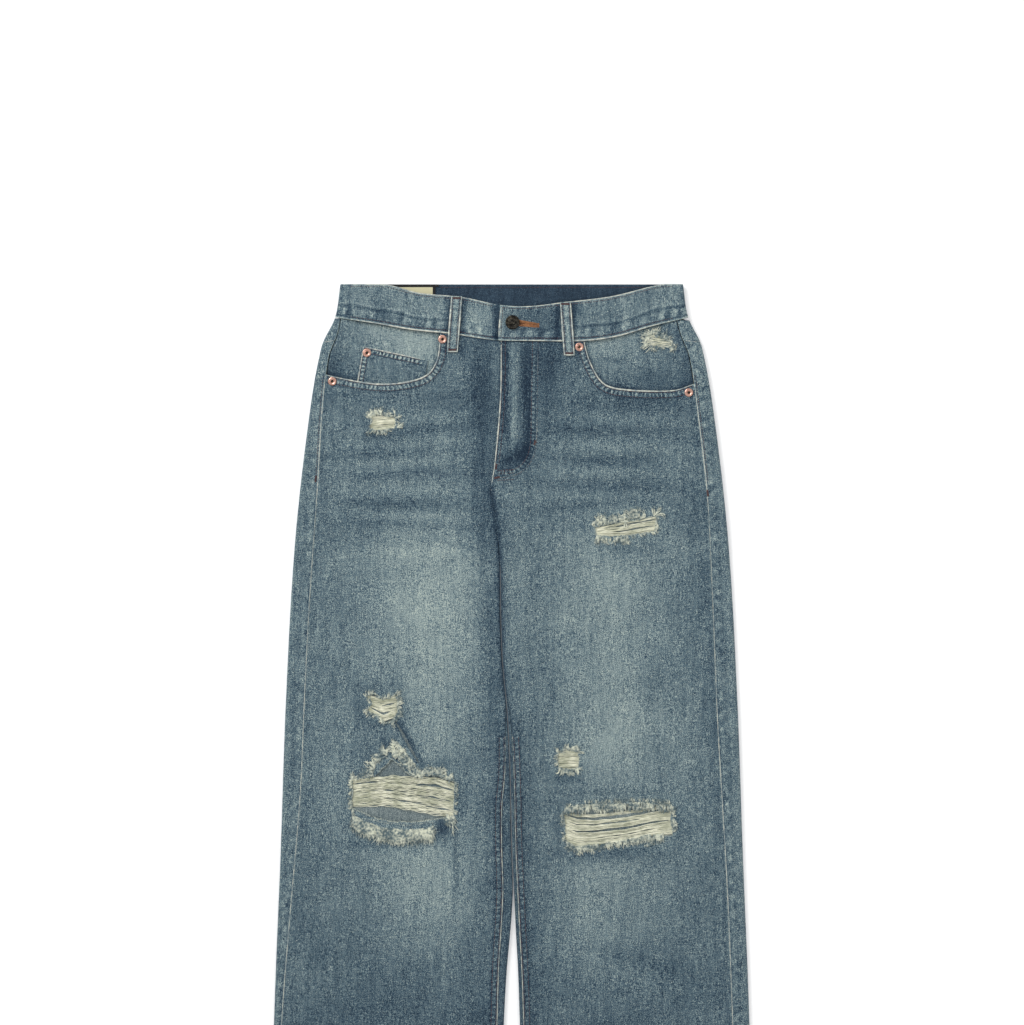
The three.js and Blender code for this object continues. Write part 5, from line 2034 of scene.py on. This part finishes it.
@dataclass
class BeltLoop(Part):
    """A belt loop, sewn down at both ends."""

    name: str
    upper: Pair
    lower: Pair
    width: float = 12.4
    in_front: bool = True

    def top(self, x: Any, y: Any) -> Any:
        """Height of its outer skin, clear of its edges."""
        if not self.in_front:
            return np.zeros(np.shape(y))
        side = Side.LEFT if self.upper[0] < 0 else Side.RIGHT
        seam = float(BAND_LOWER((self.upper[0] + self.lower[0]) / 2))
        on_band = ramp(y, seam - 5, seam + 1.5)
        rest = mix(LEGS[side].top(x, y), band_top(x, side), on_band)
        arch = 0.6 * np.sin(np.pi * np.clip((y - self.lower[1]) / (self.upper[1] - self.lower[1]), 0, 1))
        return rest + 2 * GAP + CLOTH + 0.35 + arch

    def line(self, across: float = 0.0) -> Path:
        """A line down the loop, off its middle by so much."""
        upper = (self.upper[0] + across, self.upper[1] - 0.6)
        return Path([upper, (self.lower[0] + across, self.lower[1] + 0.6)])

    def build(self, wardrobe: Wardrobe) -> None:
        """Lays and dresses the loop."""
        mesh = mesh_of(slab(10, 34), "loop_blank")
        flat = mark_skins(mesh)
        share, up = flat[:, 0], flat[:, 1]
        across = (share - 0.5) * self.width
        x = mix(self.lower[0], self.upper[0], up) + across
        y = mix(self.lower[1], self.upper[1], up)
        crown = 0.5 * np.abs(2 * share - 1) ** 4
        if self.in_front:
            z = self.top(x, y) - crown + flat[:, 2] * CLOTH
        else:
            z = -flat[:, 2] * CLOTH + crown * (1 + flat[:, 2]) * 0.6
        tone = 0.54 + 0.20 * bell(across, 2.0) - 0.26 * bell(np.abs(across) - 4.1, 0.9)
        tone = tone + 0.24 * bell(np.abs(across) - 5.8, 0.9) + 0.12 * ripple(y, 9, 2)
        tone = tone + 0.16 * bell(up, 0.03) + 0.16 * bell(up - 1, 0.03)
        flat_panel(mesh, xyz(x, y, z), tone)
        if not self.in_front:
            mesh.flip_normals()
        sheet = Sheet(self.width, self.upper[1] - self.lower[1])
        add_cloth(wardrobe, self.name, mesh, sheet, ["waistband"])


LOOPS = [
    BeltLoop("belt_loop_front_left", (-64, 506), (-69, 441)),
    BeltLoop("belt_loop_front_right", (62.5, 499), (67, 437)),
    *(BeltLoop(f"belt_loop_back_{word}", (x, WAIST - 2), (x, WAIST - 68), in_front=False)
      for word, x in (("left", -135), ("centre", 0), ("right", 135))),
]


@dataclass
class Label(Part):
    """A blank woven label inside the back of the waistband, under a dark tape."""

    thickness: float = 1.0
    border: float = 3.0

    def build(self, wardrobe: Wardrobe) -> None:
        """Makes the tape and the label."""
        rest = LIFT + DOUBLE + GAP
        wide = LABEL_WIDTH / 2
        tape = self._strip((LABEL_X - wide, WAIST - 3), (LABEL_X + wide, WAIST), rest)
        add_piece("tape_label", tape, [wardrobe.tape], ["label_band"])
        cloth = self._strip((LABEL_X - wide + 4, 500), (LABEL_X + wide - 4, WAIST - 3 - GAP), rest)
        numbers = [int(face.center.x / MM > LABEL_X + wide - 4 - self.border) for face in cloth.polygons]
        cloth.polygons.foreach_set("material_index", numbers)
        finishes = [wardrobe.cream, wardrobe.tape]
        piece = add_piece("cloth_label", cloth, finishes, ["label_patch"])
        lay_cloth(Sheet(LABEL_WIDTH - 8, 16.7))

    def _strip(self, low: Pair, high: Pair, rest: float) -> Any:
        """A strip of label with a soft crown."""
        mesh = box_slab(low, high, 1.5)
        flat = points_of(mesh)
        across = (flat[:, 1] - low[1]) / (high[1] - low[1])
        crown = 0.25 * np.sin(np.pi * across) * (1 + flat[:, 2])
        z = rest + self.thickness * (1 + flat[:, 2]) - 0.25 + crown
        move_points(mesh, xyz(flat[:, 0], flat[:, 1], np.maximum(z, rest)) * MM)
        return mesh


# ---- metal


def turned(profile: Sequence[Pair], steps: int, place: tuple[float, float, float], core: float) -> Any:
    """A turned piece on an upright axis.

    Args:
        profile: Its radius and height, from the axis below to the axis above.
        steps: How many faces there are round it.
        place: Where its axis stands, in millimetres.
        core: Inside this radius its upper faces take the second material.

    Returns:
        Its mesh, in metres.
    """
    bm = bmesh.new()
    points = [bm.verts.new((r, 0, h)) for r, h in profile]
    edges = [bm.edges.new(pair) for pair in zip(points, points[1:])]
    bmesh.ops.spin(
        bm, geom=points + edges, cent=(0, 0, 0), axis=(0, 0, 1), angle=2 * math.pi, steps=steps,
        use_merge=True, use_duplicate=False,
    )
    bmesh.ops.remove_doubles(bm, verts=bm.verts[:], dist=1e-4)
    bmesh.ops.recalc_face_normals(bm, faces=bm.faces[:])
    for face in bm.faces:
        centre = face.calc_center_median()
        face.material_index = int(math.hypot(centre.x, centre.y) < core and centre.z > 0.3)
    bmesh.ops.translate(bm, verts=bm.verts[:], vec=place)
    bmesh.ops.scale(bm, verts=bm.verts[:], vec=(MM, MM, MM))
    return mesh_of(bm, "turned")


@dataclass
class TackButton(Part):
    """The tack button: its shank goes through the keyhole, and its cap has rings round a dished middle."""

    centre: Pair = BUTTON_PLACE
    radius: float = 8.3

    def build(self, wardrobe: Wardrobe) -> None:
        """Turns and dresses the button."""
        low = float(band_top(self.centre[0], Side.LEFT)) + GAP
        cap = float(band_top(self.centre[0], Side.RIGHT)) + 0.5 - low
        r = self.radius
        profile = [
            (0, 0), (2.4, 0), (2.4, cap), (r - 0.9, cap), (r - 0.2, cap + 0.3), (r, cap + 0.9),
            (r - 0.2, cap + 1.5), (r - 0.9, cap + 2.0), (r - 1.5, cap + 2.1), (r - 2.0, cap + 1.8),
            (r - 2.3, cap + 1.55),
            (r - 2.9, cap + 1.6), (r - 3.3, cap + 1.85), (r - 3.8, cap + 1.6), (3.6, cap + 1.6),
            (3.2, cap + 2.0), (2.6, cap + 2.35), (2.0, cap + 2.2), (1.6, cap + 1.9), (1.2, cap + 2.0),
            (0.7, cap + 2.35), (0, cap + 2.45),
        ]
        mesh = turned(profile, 48, (*self.centre, low), 0.0)
        add_piece("tack_button", mesh, [wardrobe.bronze, wardrobe.bronze], ["button"])


@dataclass
class Rivet(Part):
    """A rivet with a ring round its nub."""

    name: str
    centre: Pair
    height: Height
    radius: float = 5.0

    def build(self, wardrobe: Wardrobe) -> None:
        """Turns and dresses the rivet."""
        low = float(self.height(np.array(self.centre[0]), np.array(self.centre[1]))) + 0.05
        r = self.radius
        profile = [
            (0, 0), (r - 0.2, 0), (r, 0.25), (r - 0.15, 0.6), (r - 0.7, 0.95), (r - 1.4, 1.05),
            (r - 2.0, 0.95), (r - 2.4, 0.6), (r - 2.8, 0.45), (1.9, 0.45), (1.7, 0.9), (1.3, 1.3),
            (0.8, 1.4), (0.5, 1.1), (0, 0.95),
        ]
        mesh = turned(profile, 28, (*self.centre, low), 1.75)
        add_piece(f"copper_{self.name}", mesh, [wardrobe.copper, wardrobe.bronze], [self.name])


# ---- fringes


@dataclass(frozen=True)
class Fringe(Part):
    """Loose yarn ends that stand out from a torn edge over the cloth beside it."""

    name: str
    root: tuple[Pair, ...]
    reach: float
    count: int
    seed: int
    heading: float | None = None
    spread: float = 22.0
    curl: float = 35.0
    nodes: tuple[str, ...] = ()
    radius: float = 0.46
    clump: int = 4

    def strands(self, height: Height) -> Strands:
        """The yarn ends.

        Args:
            height: The cloth's surface.

        Returns:
            The bundle.
        """
        chance = random.Random(self.seed)
        path = Path(self.root)
        middle = path.points.mean(axis=0)
        steps = 6
        lines = np.zeros((self.count, steps, 3))
        for i in range(self.count):
            if i % self.clump == 0:
                place = chance.uniform(0, path.length)
                lean = chance.gauss(0, self.spread)
                bend = chance.gauss(0, self.curl)
                share = chance.uniform(0.55, 1.0) * (0.8 + 0.2 * float(ripple(place, 6.0, self.seed)))
                wander = chance.uniform(0, 6.3)
            spot = np.clip(place + chance.uniform(-1.2, 1.2), 0, path.length)
            x, y = path.at(spot, chance.uniform(-0.8, 0.8))
            out = math.degrees(math.atan2(y - middle[1], 0.5 * (x - middle[0])))
            aim = (out if self.heading is None else self.heading) + lean + chance.gauss(0, 8)
            angle = math.radians(aim)
            step = self.reach * share * chance.uniform(0.75, 1.1) / (steps - 1)
            turn = math.radians(bend + chance.gauss(0, 18)) / (steps - 1)
            for k in range(steps):
                lines[i, k] = (x, y, 0.7 + 0.6 * math.sin(k * 0.9 + wander) + chance.uniform(0, 0.5))
                x += step * math.cos(angle)
                y += step * math.sin(angle)
                angle += turn * (1 + 0.8 * math.sin(k * 1.7 + wander))
            lines[i, 0, 2] = -0.5
        lines[:, :, 2] += height(lines[:, :, 0], lines[:, :, 1])
        bundle = Strands(f"fringe_{self.name}")
        bundle.add_all(lines, self.radius, (0.9, 0.35))
        return bundle

    def build(self, wardrobe: Wardrobe, height: Height = front_top) -> None:
        """Makes and dresses the fringe.

        Args:
            wardrobe: The finishes.
            height: The cloth's surface.
        """
        mesh = self.strands(height).mesh()
        add_piece(f"fringe_{self.name}", mesh, [wardrobe.fringe], self.nodes)


# name, root, reach, count, seed, heading, spread, curl, nodes, radius, clump
FRINGES = [Fringe(*row) for row in (
    ("thigh_left_upper", ((-166, 364), (-156, 368), (-146, 367), (-135, 366)), 14, 90, 41, 112, 30, 70),
    ("thigh_left_lower", ((-166, 352), (-156, 350), (-140, 352)), 11, 70, 66, -100, 26, 50),
    ("thigh_left_end", ((-134, 366), (-133, 352)), 9, 26, 67, 8, 22, 30),
    ("thigh_right_upper", ((94, 238), (110, 241), (145, 247), (168, 251)), 18, 200, 42, 92, 34, 90,
     ("fray_thigh_right_upper",)),
    ("thigh_right_lower", ((99, 227), (118, 225), (135, 227)), 14, 110, 43, -92, 18, 40,
     ("fray_thigh_right_lower",)),
    ("thigh_right_end", ((135, 227), (150, 229), (168, 232), (169, 250)), 6, 60, 44, -60, 30, 40),
    ("knee_left_top", closed(RIPS[2].hole), 11, 180, 45, None, 30, 60),
    ("knee_left_upper", ((-163, -52), (-160, -40), (-152, -29), (-145, -24)), 16, 150, 46, 125, 40, 150,
     ("fray_knee_left_upper",)),
    ("knee_left_middle", ((-139, -18), (-129, -30), (-117, -42), (-104, -50)), 13, 300, 47, 200, 50, 190,
     ("fray_knee_left_middle",)),
    ("knee_left_tear", ((-134, -12), (-123, -26), (-110, -42)), 11, 150, 55, 215, 34, 150),
    ("knee_left_edge", ((-116, -53), (-100, -50), (-82, -52), (-66, -60)), 14, 240, 48, 84, 40, 130),
    ("knee_left_corner", ((-187, -58), (-172, -54), (-160, -53)), 12, 80, 49, 105, 28, 60),
    ("knee_left_side", ((-186, -90), (-187, -74), (-186, -58)), 6, 80, 56, 185, 26, 40),
    ("knee_left_other", ((-66, -60), (-65, -78), (-66, -98)), 5, 70, 57, 0, 26, 40),
    ("knee_left_tuft", ((-76, -98), (-70, -99), (-66, -98)), 23, 36, 50, -86, 7, 16, (), 0.55),
    ("knee_left_thread", ((-186, -90), (-184, -92)), 24, 4, 58, -96, 5, 40),
    ("knee_right_square_upper", ((53, -26), (66, -22), (78, -25)), 12, 80, 51, 84, 34, 90),
    ("knee_right_square_lower", ((54, -43), (66, -45), (78, -43)), 12, 80, 68, -84, 34, 90),
    ("knee_right_square_side", ((54, -25), (53, -34), (54, -44)), 6, 34, 69, 180, 28, 50),
    ("knee_right_upper", ((62, -90), (75, -86), (110, -85), (150, -83), (186, -86)), 15, 430, 52, -88, 8,
     20, ("fray_knee_right_upper",), 0.44, 3),
    ("knee_right_crown", ((64, -90), (75, -85), (110, -84), (150, -82), (184, -85)), 7, 150, 59, 90, 18,
     30, (), 0.4, 3),
    ("knee_right_lower", ((63, -128), (75, -135), (105, -131), (133, -127), (150, -124)), 13, 320, 53,
     -80, 24, 60, ("fray_knee_right_lower",), 0.38, 3),
    ("knee_right_flap", ((150, -122), (164, -121), (178, -120)), 15, 110, 60, -100, 34, 70),
    ("knee_right_end", ((188, -120), (188, -106), (187, -88)), 7, 90, 54, -14, 36, 60),
    ("knee_right_start", ((61, -93), (60, -110), (62, -128)), 6, 80, 63, 180, 28, 50),
    ("knee_right_thread", ((154, -134), (156, -135)), 22, 5, 64, 24, 2, 6, (), 0.6),
    ("knee_right_corner", ((168, -80), (172, -82)), 22, 5, 65, -22, 5, 16, (), 0.55),
)]


@dataclass
class TornFlap(Part):
    """The strip that hangs under the left knee's rip, frayed along its lower edge."""

    upper: tuple[Pair, ...] = ((-185, -101), (-162, -103), (-143, -108), (-118, -109), (-91, -106))
    lower: tuple[Pair, ...] = (
        (-91, -115), (-106, -118), (-124, -119), (-152, -116), (-172, -109), (-184, -103),
    )
    proud: float = 0.55

    def shade(self, x: Array, y: Array) -> Array:
        """How thick the fringe's roots lie over each point, from 0 to 1."""
        return ramp(Path([(x, y - 2) for x, y in self.lower]).near(x, y)[0], 7, 3)

    def top(self, x: Any, y: Any) -> Any:
        """Height of its outer skin: it curls up along its lower edge."""
        upper = Path(self.upper).near(np.asarray(x, float), np.asarray(y, float))[0]
        curl = 0.35 * ramp(upper, 2, 9) * (1 + 0.5 * ripple(x, 13, 2))
        return front_top(x, y) + self.proud + curl

    def build(self, wardrobe: Wardrobe) -> None:
        """Cuts, lays and dresses the strip and its fringe."""
        outline = ragged([*self.upper, *self.lower], 2.0, 0.7, 61)
        mesh = patch_slab(outline, 2.0)
        flat = mark_skins(mesh)
        x, y = flat[:, 0], flat[:, 1]
        z = self.top(x, y) + flat[:, 2] * 0.5
        gap = Path(closed(outline)).near(x, y)[0]
        fray = np.maximum(0.5 * ramp(gap, 2.5, 0.3), 0.7 * self.shade(x, y))
        flat_panel(mesh, xyz(x, y, z), 0.52 + 0 * x, fray)
        root = tuple((x, y + 4) for x, y in self.lower)
        fringe = Fringe("knee_left_flap", root, 24, 900, 62, -90, 7, 16, radius=0.4, clump=2)
        node = "fray_knee_left_flap"
        piece = add_piece("denim_knee_left_flap", mesh, [wardrobe.denim, wardrobe.inside], [node])
        lay_cloth(Sheet(94, 12, 0.85))
        fringe.build(wardrobe, self.top)


@dataclass
class WornPatch(Part):
    """The fuzzy patch that is rubbed through on the right pocket's facing."""

    outline: tuple[Pair, ...] = (
        (158, 450), (160, 460), (168, 462), (176, 456), (186, 452), (184, 447), (170, 448),
    )

    def build(self, wardrobe: Wardrobe) -> None:
        """Lays its level threads and the fibres round them."""
        height = facing_top(Side.RIGHT)
        chance = random.Random(71)
        bundle = Strands("fuzz_threads")
        y = 448.0
        while y < 462:
            ends = crossings(list(self.outline), y)
            if len(ends) > 1:
                x = np.linspace(ends[0] - 2, ends[1] + 2, 9)
                line = y + 0.6 * np.sin(x * 0.3 + chance.uniform(0, 6))
                z = height(x, line) + 0.3 + 0.2 * np.sin(x)
                bundle.add(xyz(x, line, z), 0.4, (0.4, 0.4))
            y += 0.9
        add_piece("fuzz_threads", bundle.mesh(), [wardrobe.weft], ["fray_pocket_right"])
        Fringe("pocket_right", closed(self.outline), 13, 170, 72, spread=30, curl=60).build(wardrobe, height)


# ---- needlework


def level_at(height: float) -> Height:
    """A flat surface at that height."""
    return lambda x, y: height + 0 * x


def seat_top(x: Any, y: Any) -> Any:
    """The seat's stitches hang just under its cloth."""
    return ground(y) - 0.1


def seen_span(path: Path, side: Side) -> Pair:
    """The stretch of a pocket's mouth between the waist seam and the side seam."""
    places = np.linspace(0, path.length, 200)
    x, y = path.at(places)
    seen = places[(y < BAND_LOWER(x) - 1.2) & (np.abs(x) < SIDE_SEAM[side](y) - 1)]
    return float(seen[0]), float(seen[-1])


@dataclass
class Needlework(Sewing, Part):
    """Every row of stitches, bartack and worn edge of the garment."""

    near: float = 1.9
    far: float = 8.0

    def build(self, wardrobe: Wardrobe) -> None:
        """Sews the whole garment."""
        self._pockets()
        self._fly()
        self._waistband()
        self._loops()
        self._legs()
        self._back()
        self.dress(wardrobe)

    def _pockets(self) -> None:
        """The pocket mouths and the coin pocket."""
        for side in Side:
            span = seen_span(MOUTH[side], side)
            inwards = -side.value
            for across in (self.near, self.far):
                self.row(MOUTH[side], inwards * across, front_top, span)
            self.edge(MOUTH[side], inwards * 0.6, front_top, span, 1.0)
        coin = CoinPocket()
        top_edge, side_edge = coin.edges()
        for path, end in ((top_edge, 68.0), (side_edge, side_edge.length)):
            for across in (1.6, 6.2):
                self.row(path, -across, coin.top, (2.0, end))
            self.edge(path, -0.5, coin.top, (0.0, end), 0.85)

    def _fly(self) -> None:
        """The fly's curved rows, bartacks and edge."""
        self.row(J_STITCH, 0.3, front_top)
        self.row(J_STITCH, -6.4, front_top, (0.0, J_STITCH.length - 6))
        self.edge(FLY_LINE, 0.7, front_top, (0.0, 176.0), 0.95)
        for across in (1.6, 5.4):
            self.row(FLY_LINE, across, front_top, (0.0, 148.0))
        for level in (303.0, 299.0, 291.5):
            self.row(Path([(-17, level), (4, level + 1.5)]), 0, front_top)
        self.tack((-18, 308), 7, 80, front_top)
        self.tack((-17, 295), 7, 10, front_top)
        self.tack((27, 336), 6, 75, front_top)

    def _waistband(self) -> None:
        """The band's rows, its edges, its open end and the buttonhole."""
        for side, start, end in ((Side.LEFT, -188, -19), (Side.RIGHT, -11, 188)):
            height = band_front(side)
            for down in (0.07, 0.92):
                self.row(band_line(down, start, end), 0, height)
            for down, radius in ((0.015, 0.8), (0.985, 1.0)):
                self.edge(band_line(down, start, end), 0, height, None, radius)
        end = Waistband().over_end
        over = band_front(Side.RIGHT)
        closing = Path([(end + 0.5, 494.0), (end - 2.2, 457.0)])
        self.edge(closing, 0, over, None, 1.0)
        self.row(closing, 2.4, over)
        hole = Path(closed(Waistband().buttonhole()))
        self.overcast(hole, 2.1, over)
        self.tack((31, 472), 5, 90, over, self.ochre)
        inner = LIFT + DOUBLE
        for start, stop in ((-192, LABEL_X - LABEL_WIDTH / 2 - 2), (LABEL_X + LABEL_WIDTH / 2 + 2, 192)):
            line = Path([(start, WAIST - 3.4), (stop, WAIST - 3.4)])
            self.row(line, 0, level_at(inner))
        for y in (WAIST - 2.8, BAND_BACK_LOWER + 2.4):
            self.row(Path([(-190, y), (190, y)]), 0, level_at(LIFT - 0.1))

    def _loops(self) -> None:
        """The belt loops' rows, edges and bartacks."""
        for loop in LOOPS:
            for across in (-3.9, 3.9):
                self.row(loop.line(across), 0, loop.top)
            for across in (-5.7, 5.7):
                self.edge(loop.line(across), 0, loop.top, None, 0.95 if loop.in_front else 0.3)
            for end, inset_by in ((loop.upper, -2.2), (loop.lower, 2.6)):
                self.tack((end[0], end[1] + inset_by), loop.width - 3, 0, loop.top)
            if loop.in_front:
                x, y = loop.lower
                fold = Path([(x - loop.width / 2 + 0.6, y + 0.7), (x + loop.width / 2 - 0.6, y + 0.7)])
                self.edge(fold, 0, loop.top, None, 0.95)

    def _legs(self) -> None:
        """The side seams, the inseams and the hems."""
        for side in Side:
            leg = LEGS[side]
            out = side.value
            self.row(SIDE_LINE[side], out * 2.6, leg.top, (70, 196))
            for span, radius in (((66, 230), 0.6), ((230, SIDE_LINE[side].length), 0.42)):
                self.edge(SIDE_LINE[side], out * 0.4, leg.top, span, radius)
            for across in (self.near, self.far - 0.6):
                self.row(INSEAM_LINE[side], out * across, leg.top, (22, INSEAM_LINE[side].length))
            self.edge(INSEAM_LINE[side], out * 0.5, leg.top, (20, INSEAM_LINE[side].length), 0.45)
            inner = float(leg.inner_tangent(HEM)) + out * 2
            outer = float(leg.outer_tangent(HEM)) - out * 2
            row, fold = (Path([(inner, y), (outer, y)]) for y in (HEM + HEM_DEPTH - 2.4, HEM + 0.5))
            for height in (leg.top, level_at(0.0)):
                self.row(row, 0, height)
            self.edge(fold, 0, leg.top, None, 0.7)
            seam = SIDE_SEAM[side](454.0) + 1
            yoke = Path([(out * float(seam), 454.6), (out * float(HALF_WIDTH(452.0) - 3), 452.6)])
            self.edge(yoke, 0, leg.top, None, 0.6)
        self.tack((-228, 294), 8, 82, front_top)
        self.tack((228, 277), 8, 98, front_top)

    def _back(self) -> None:
        """The yoke seams, the seat seam and the back pockets."""
        seat = seat_seam()
        for across in (self.near, self.far):
            self.row(seat, across, seat_top)
        for side in Side:
            yoke = yoke_line(side)
            for across in (self.near, self.far):
                self.row(yoke, side.value * across, seat_top, (4, yoke.length - 4))
            for inset_by in (2.2, 8.2):
                rim = Path(closed(back_pocket_corners(side, inset_by)))
                top_row = math.dist(rim.points[0], rim.points[1])
                self.row(rim, 0, level_at(-0.1), (top_row if inset_by < 5 else 0.0, rim.length))
            rim = Path(closed(back_pocket_corners(side, 1.0)))
            self.edge(rim, 0, level_at(0.35), (0.0, 148.0), 0.45)
            for corner in back_pocket_corners(side, 3.0)[:2]:
                self.tack(corner, 8, 90, level_at(-0.1))


# ---- studio


@dataclass
class Studio(Part):
    """The pale floor, the soft light and the camera straight above."""

    view_width: float = 1.1940
    middle: tuple[float, float] = (0.00035, 0.2544)
    lens: float = 100.0
    sensor: float = 36.0
    floor_gap: float = 0.0009
    world: float = 0.68
    key: float = 70.0

    def build(self, wardrobe: Wardrobe) -> None:
        """Makes the floor, the lights and the camera."""
        scene = bpy.context.scene
        scene.view_settings.view_transform = "Standard"
        self._floor(wardrobe)
        self._lights(scene)
        camera = bpy.data.cameras.new("camera")
        camera.lens = self.lens
        camera.sensor_width = self.sensor
        camera.sensor_fit = "HORIZONTAL"
        camera.clip_end = 50
        stand = bpy.data.objects.new("camera", camera)
        scene.collection.objects.link(stand)
        stand.location = (*self.middle, self.view_width * self.lens / self.sensor)
        scene.camera = stand

    def _floor(self, wardrobe: Wardrobe) -> None:
        """Lays the floor just under the lowest stitches."""
        bm = bmesh.new()
        bmesh.ops.create_grid(bm, x_segments=1, y_segments=1, size=6)
        bmesh.ops.translate(bm, verts=bm.verts[:], vec=(0, 0, -self.floor_gap))
        floor = bpy.data.objects.new("floor", mesh_of(bm, "floor"))
        floor.data.materials.append(wardrobe.floor)
        bpy.context.scene.collection.objects.link(floor)

    def _lights(self, scene: Any) -> None:
        """Sets an even white surround and two large soft lights."""
        world = bpy.data.worlds.new("studio")
        world.use_nodes = True
        surround = world.node_tree.nodes["Background"]
        surround.inputs["Color"].default_value = (1, 1, 1, 1)
        surround.inputs["Strength"].default_value = self.world
        scene.world = world
        places = (("key", (-1.7, 2.2, 2.1), 1.0), ("fill", (1.8, -0.6, 2.6), 0.18))
        for name, place, share in places:
            lamp = bpy.data.lights.new(name, "AREA")
            lamp.shape = "SQUARE"
            lamp.size = 1.6
            lamp.energy = self.key * share
            stand = bpy.data.objects.new(name, lamp)
            stand.location = place
            direction = np.array([0.0, 0.1, 0.0]) - np.array(place)
            stand.rotation_euler = (
                math.acos(-direction[2] / float(np.linalg.norm(direction))), 0.0,
                math.atan2(direction[1], direction[0]) - math.pi / 2,
            )
            scene.collection.objects.link(stand)


# ---- the garment


def parts() -> list[Part]:
    """Every sub-assembly, in the order in which it is sewn."""
    made: list[Part] = []
    for side in Side:
        seat = BackPart(side, f"back_panel_{side.word}", Sheet(300, 985, 0.86))
        yoke = YokePart(side, f"yoke_{side.word}", Sheet(225, 70, 0.72), pitch=3.0)
        made += [FrontPanel(side), seat, yoke, HemBand(side), BackPocket(side), PocketFacing(side)]
    made += [CoinPocket(), Waistband(), *LOOPS, Label(), TornFlap(), WornPatch(), TackButton()]
    coin = CoinPocket()
    made += [
        Rivet("rivet_pocket_left_inner", (-80.6, 456), front_top),
        Rivet("rivet_pocket_left_outer", (-208.8, 407), front_top),
        Rivet("rivet_coin_pocket", (-168.7, 440.4), coin.top),
        Rivet("rivet_pocket_right_inner", (78.6, 447), front_top),
        Rivet("rivet_pocket_right_outer", (206, 394), front_top),
    ]
    return [*made, *FRINGES, Needlework()]


def dress_rips(wardrobe: Wardrobe) -> None:
    """Lays the bared threads across the rips."""
    for rip in RIPS:
        node = f"weft_{rip.name}"
        add_piece(f"threads_{rip.name}", rip.threads(), [wardrobe.weft], [node])


def main() -> None:
    """Makes the garment and its studio."""
    logging.basicConfig(level=logging.INFO, format="%(message)s")
    wardrobe = Wardrobe()
    for part in parts():
        part.build(wardrobe)
    dress_rips(wardrobe)
    Studio().build(wardrobe)


if __name__ == "__main__":
    main()
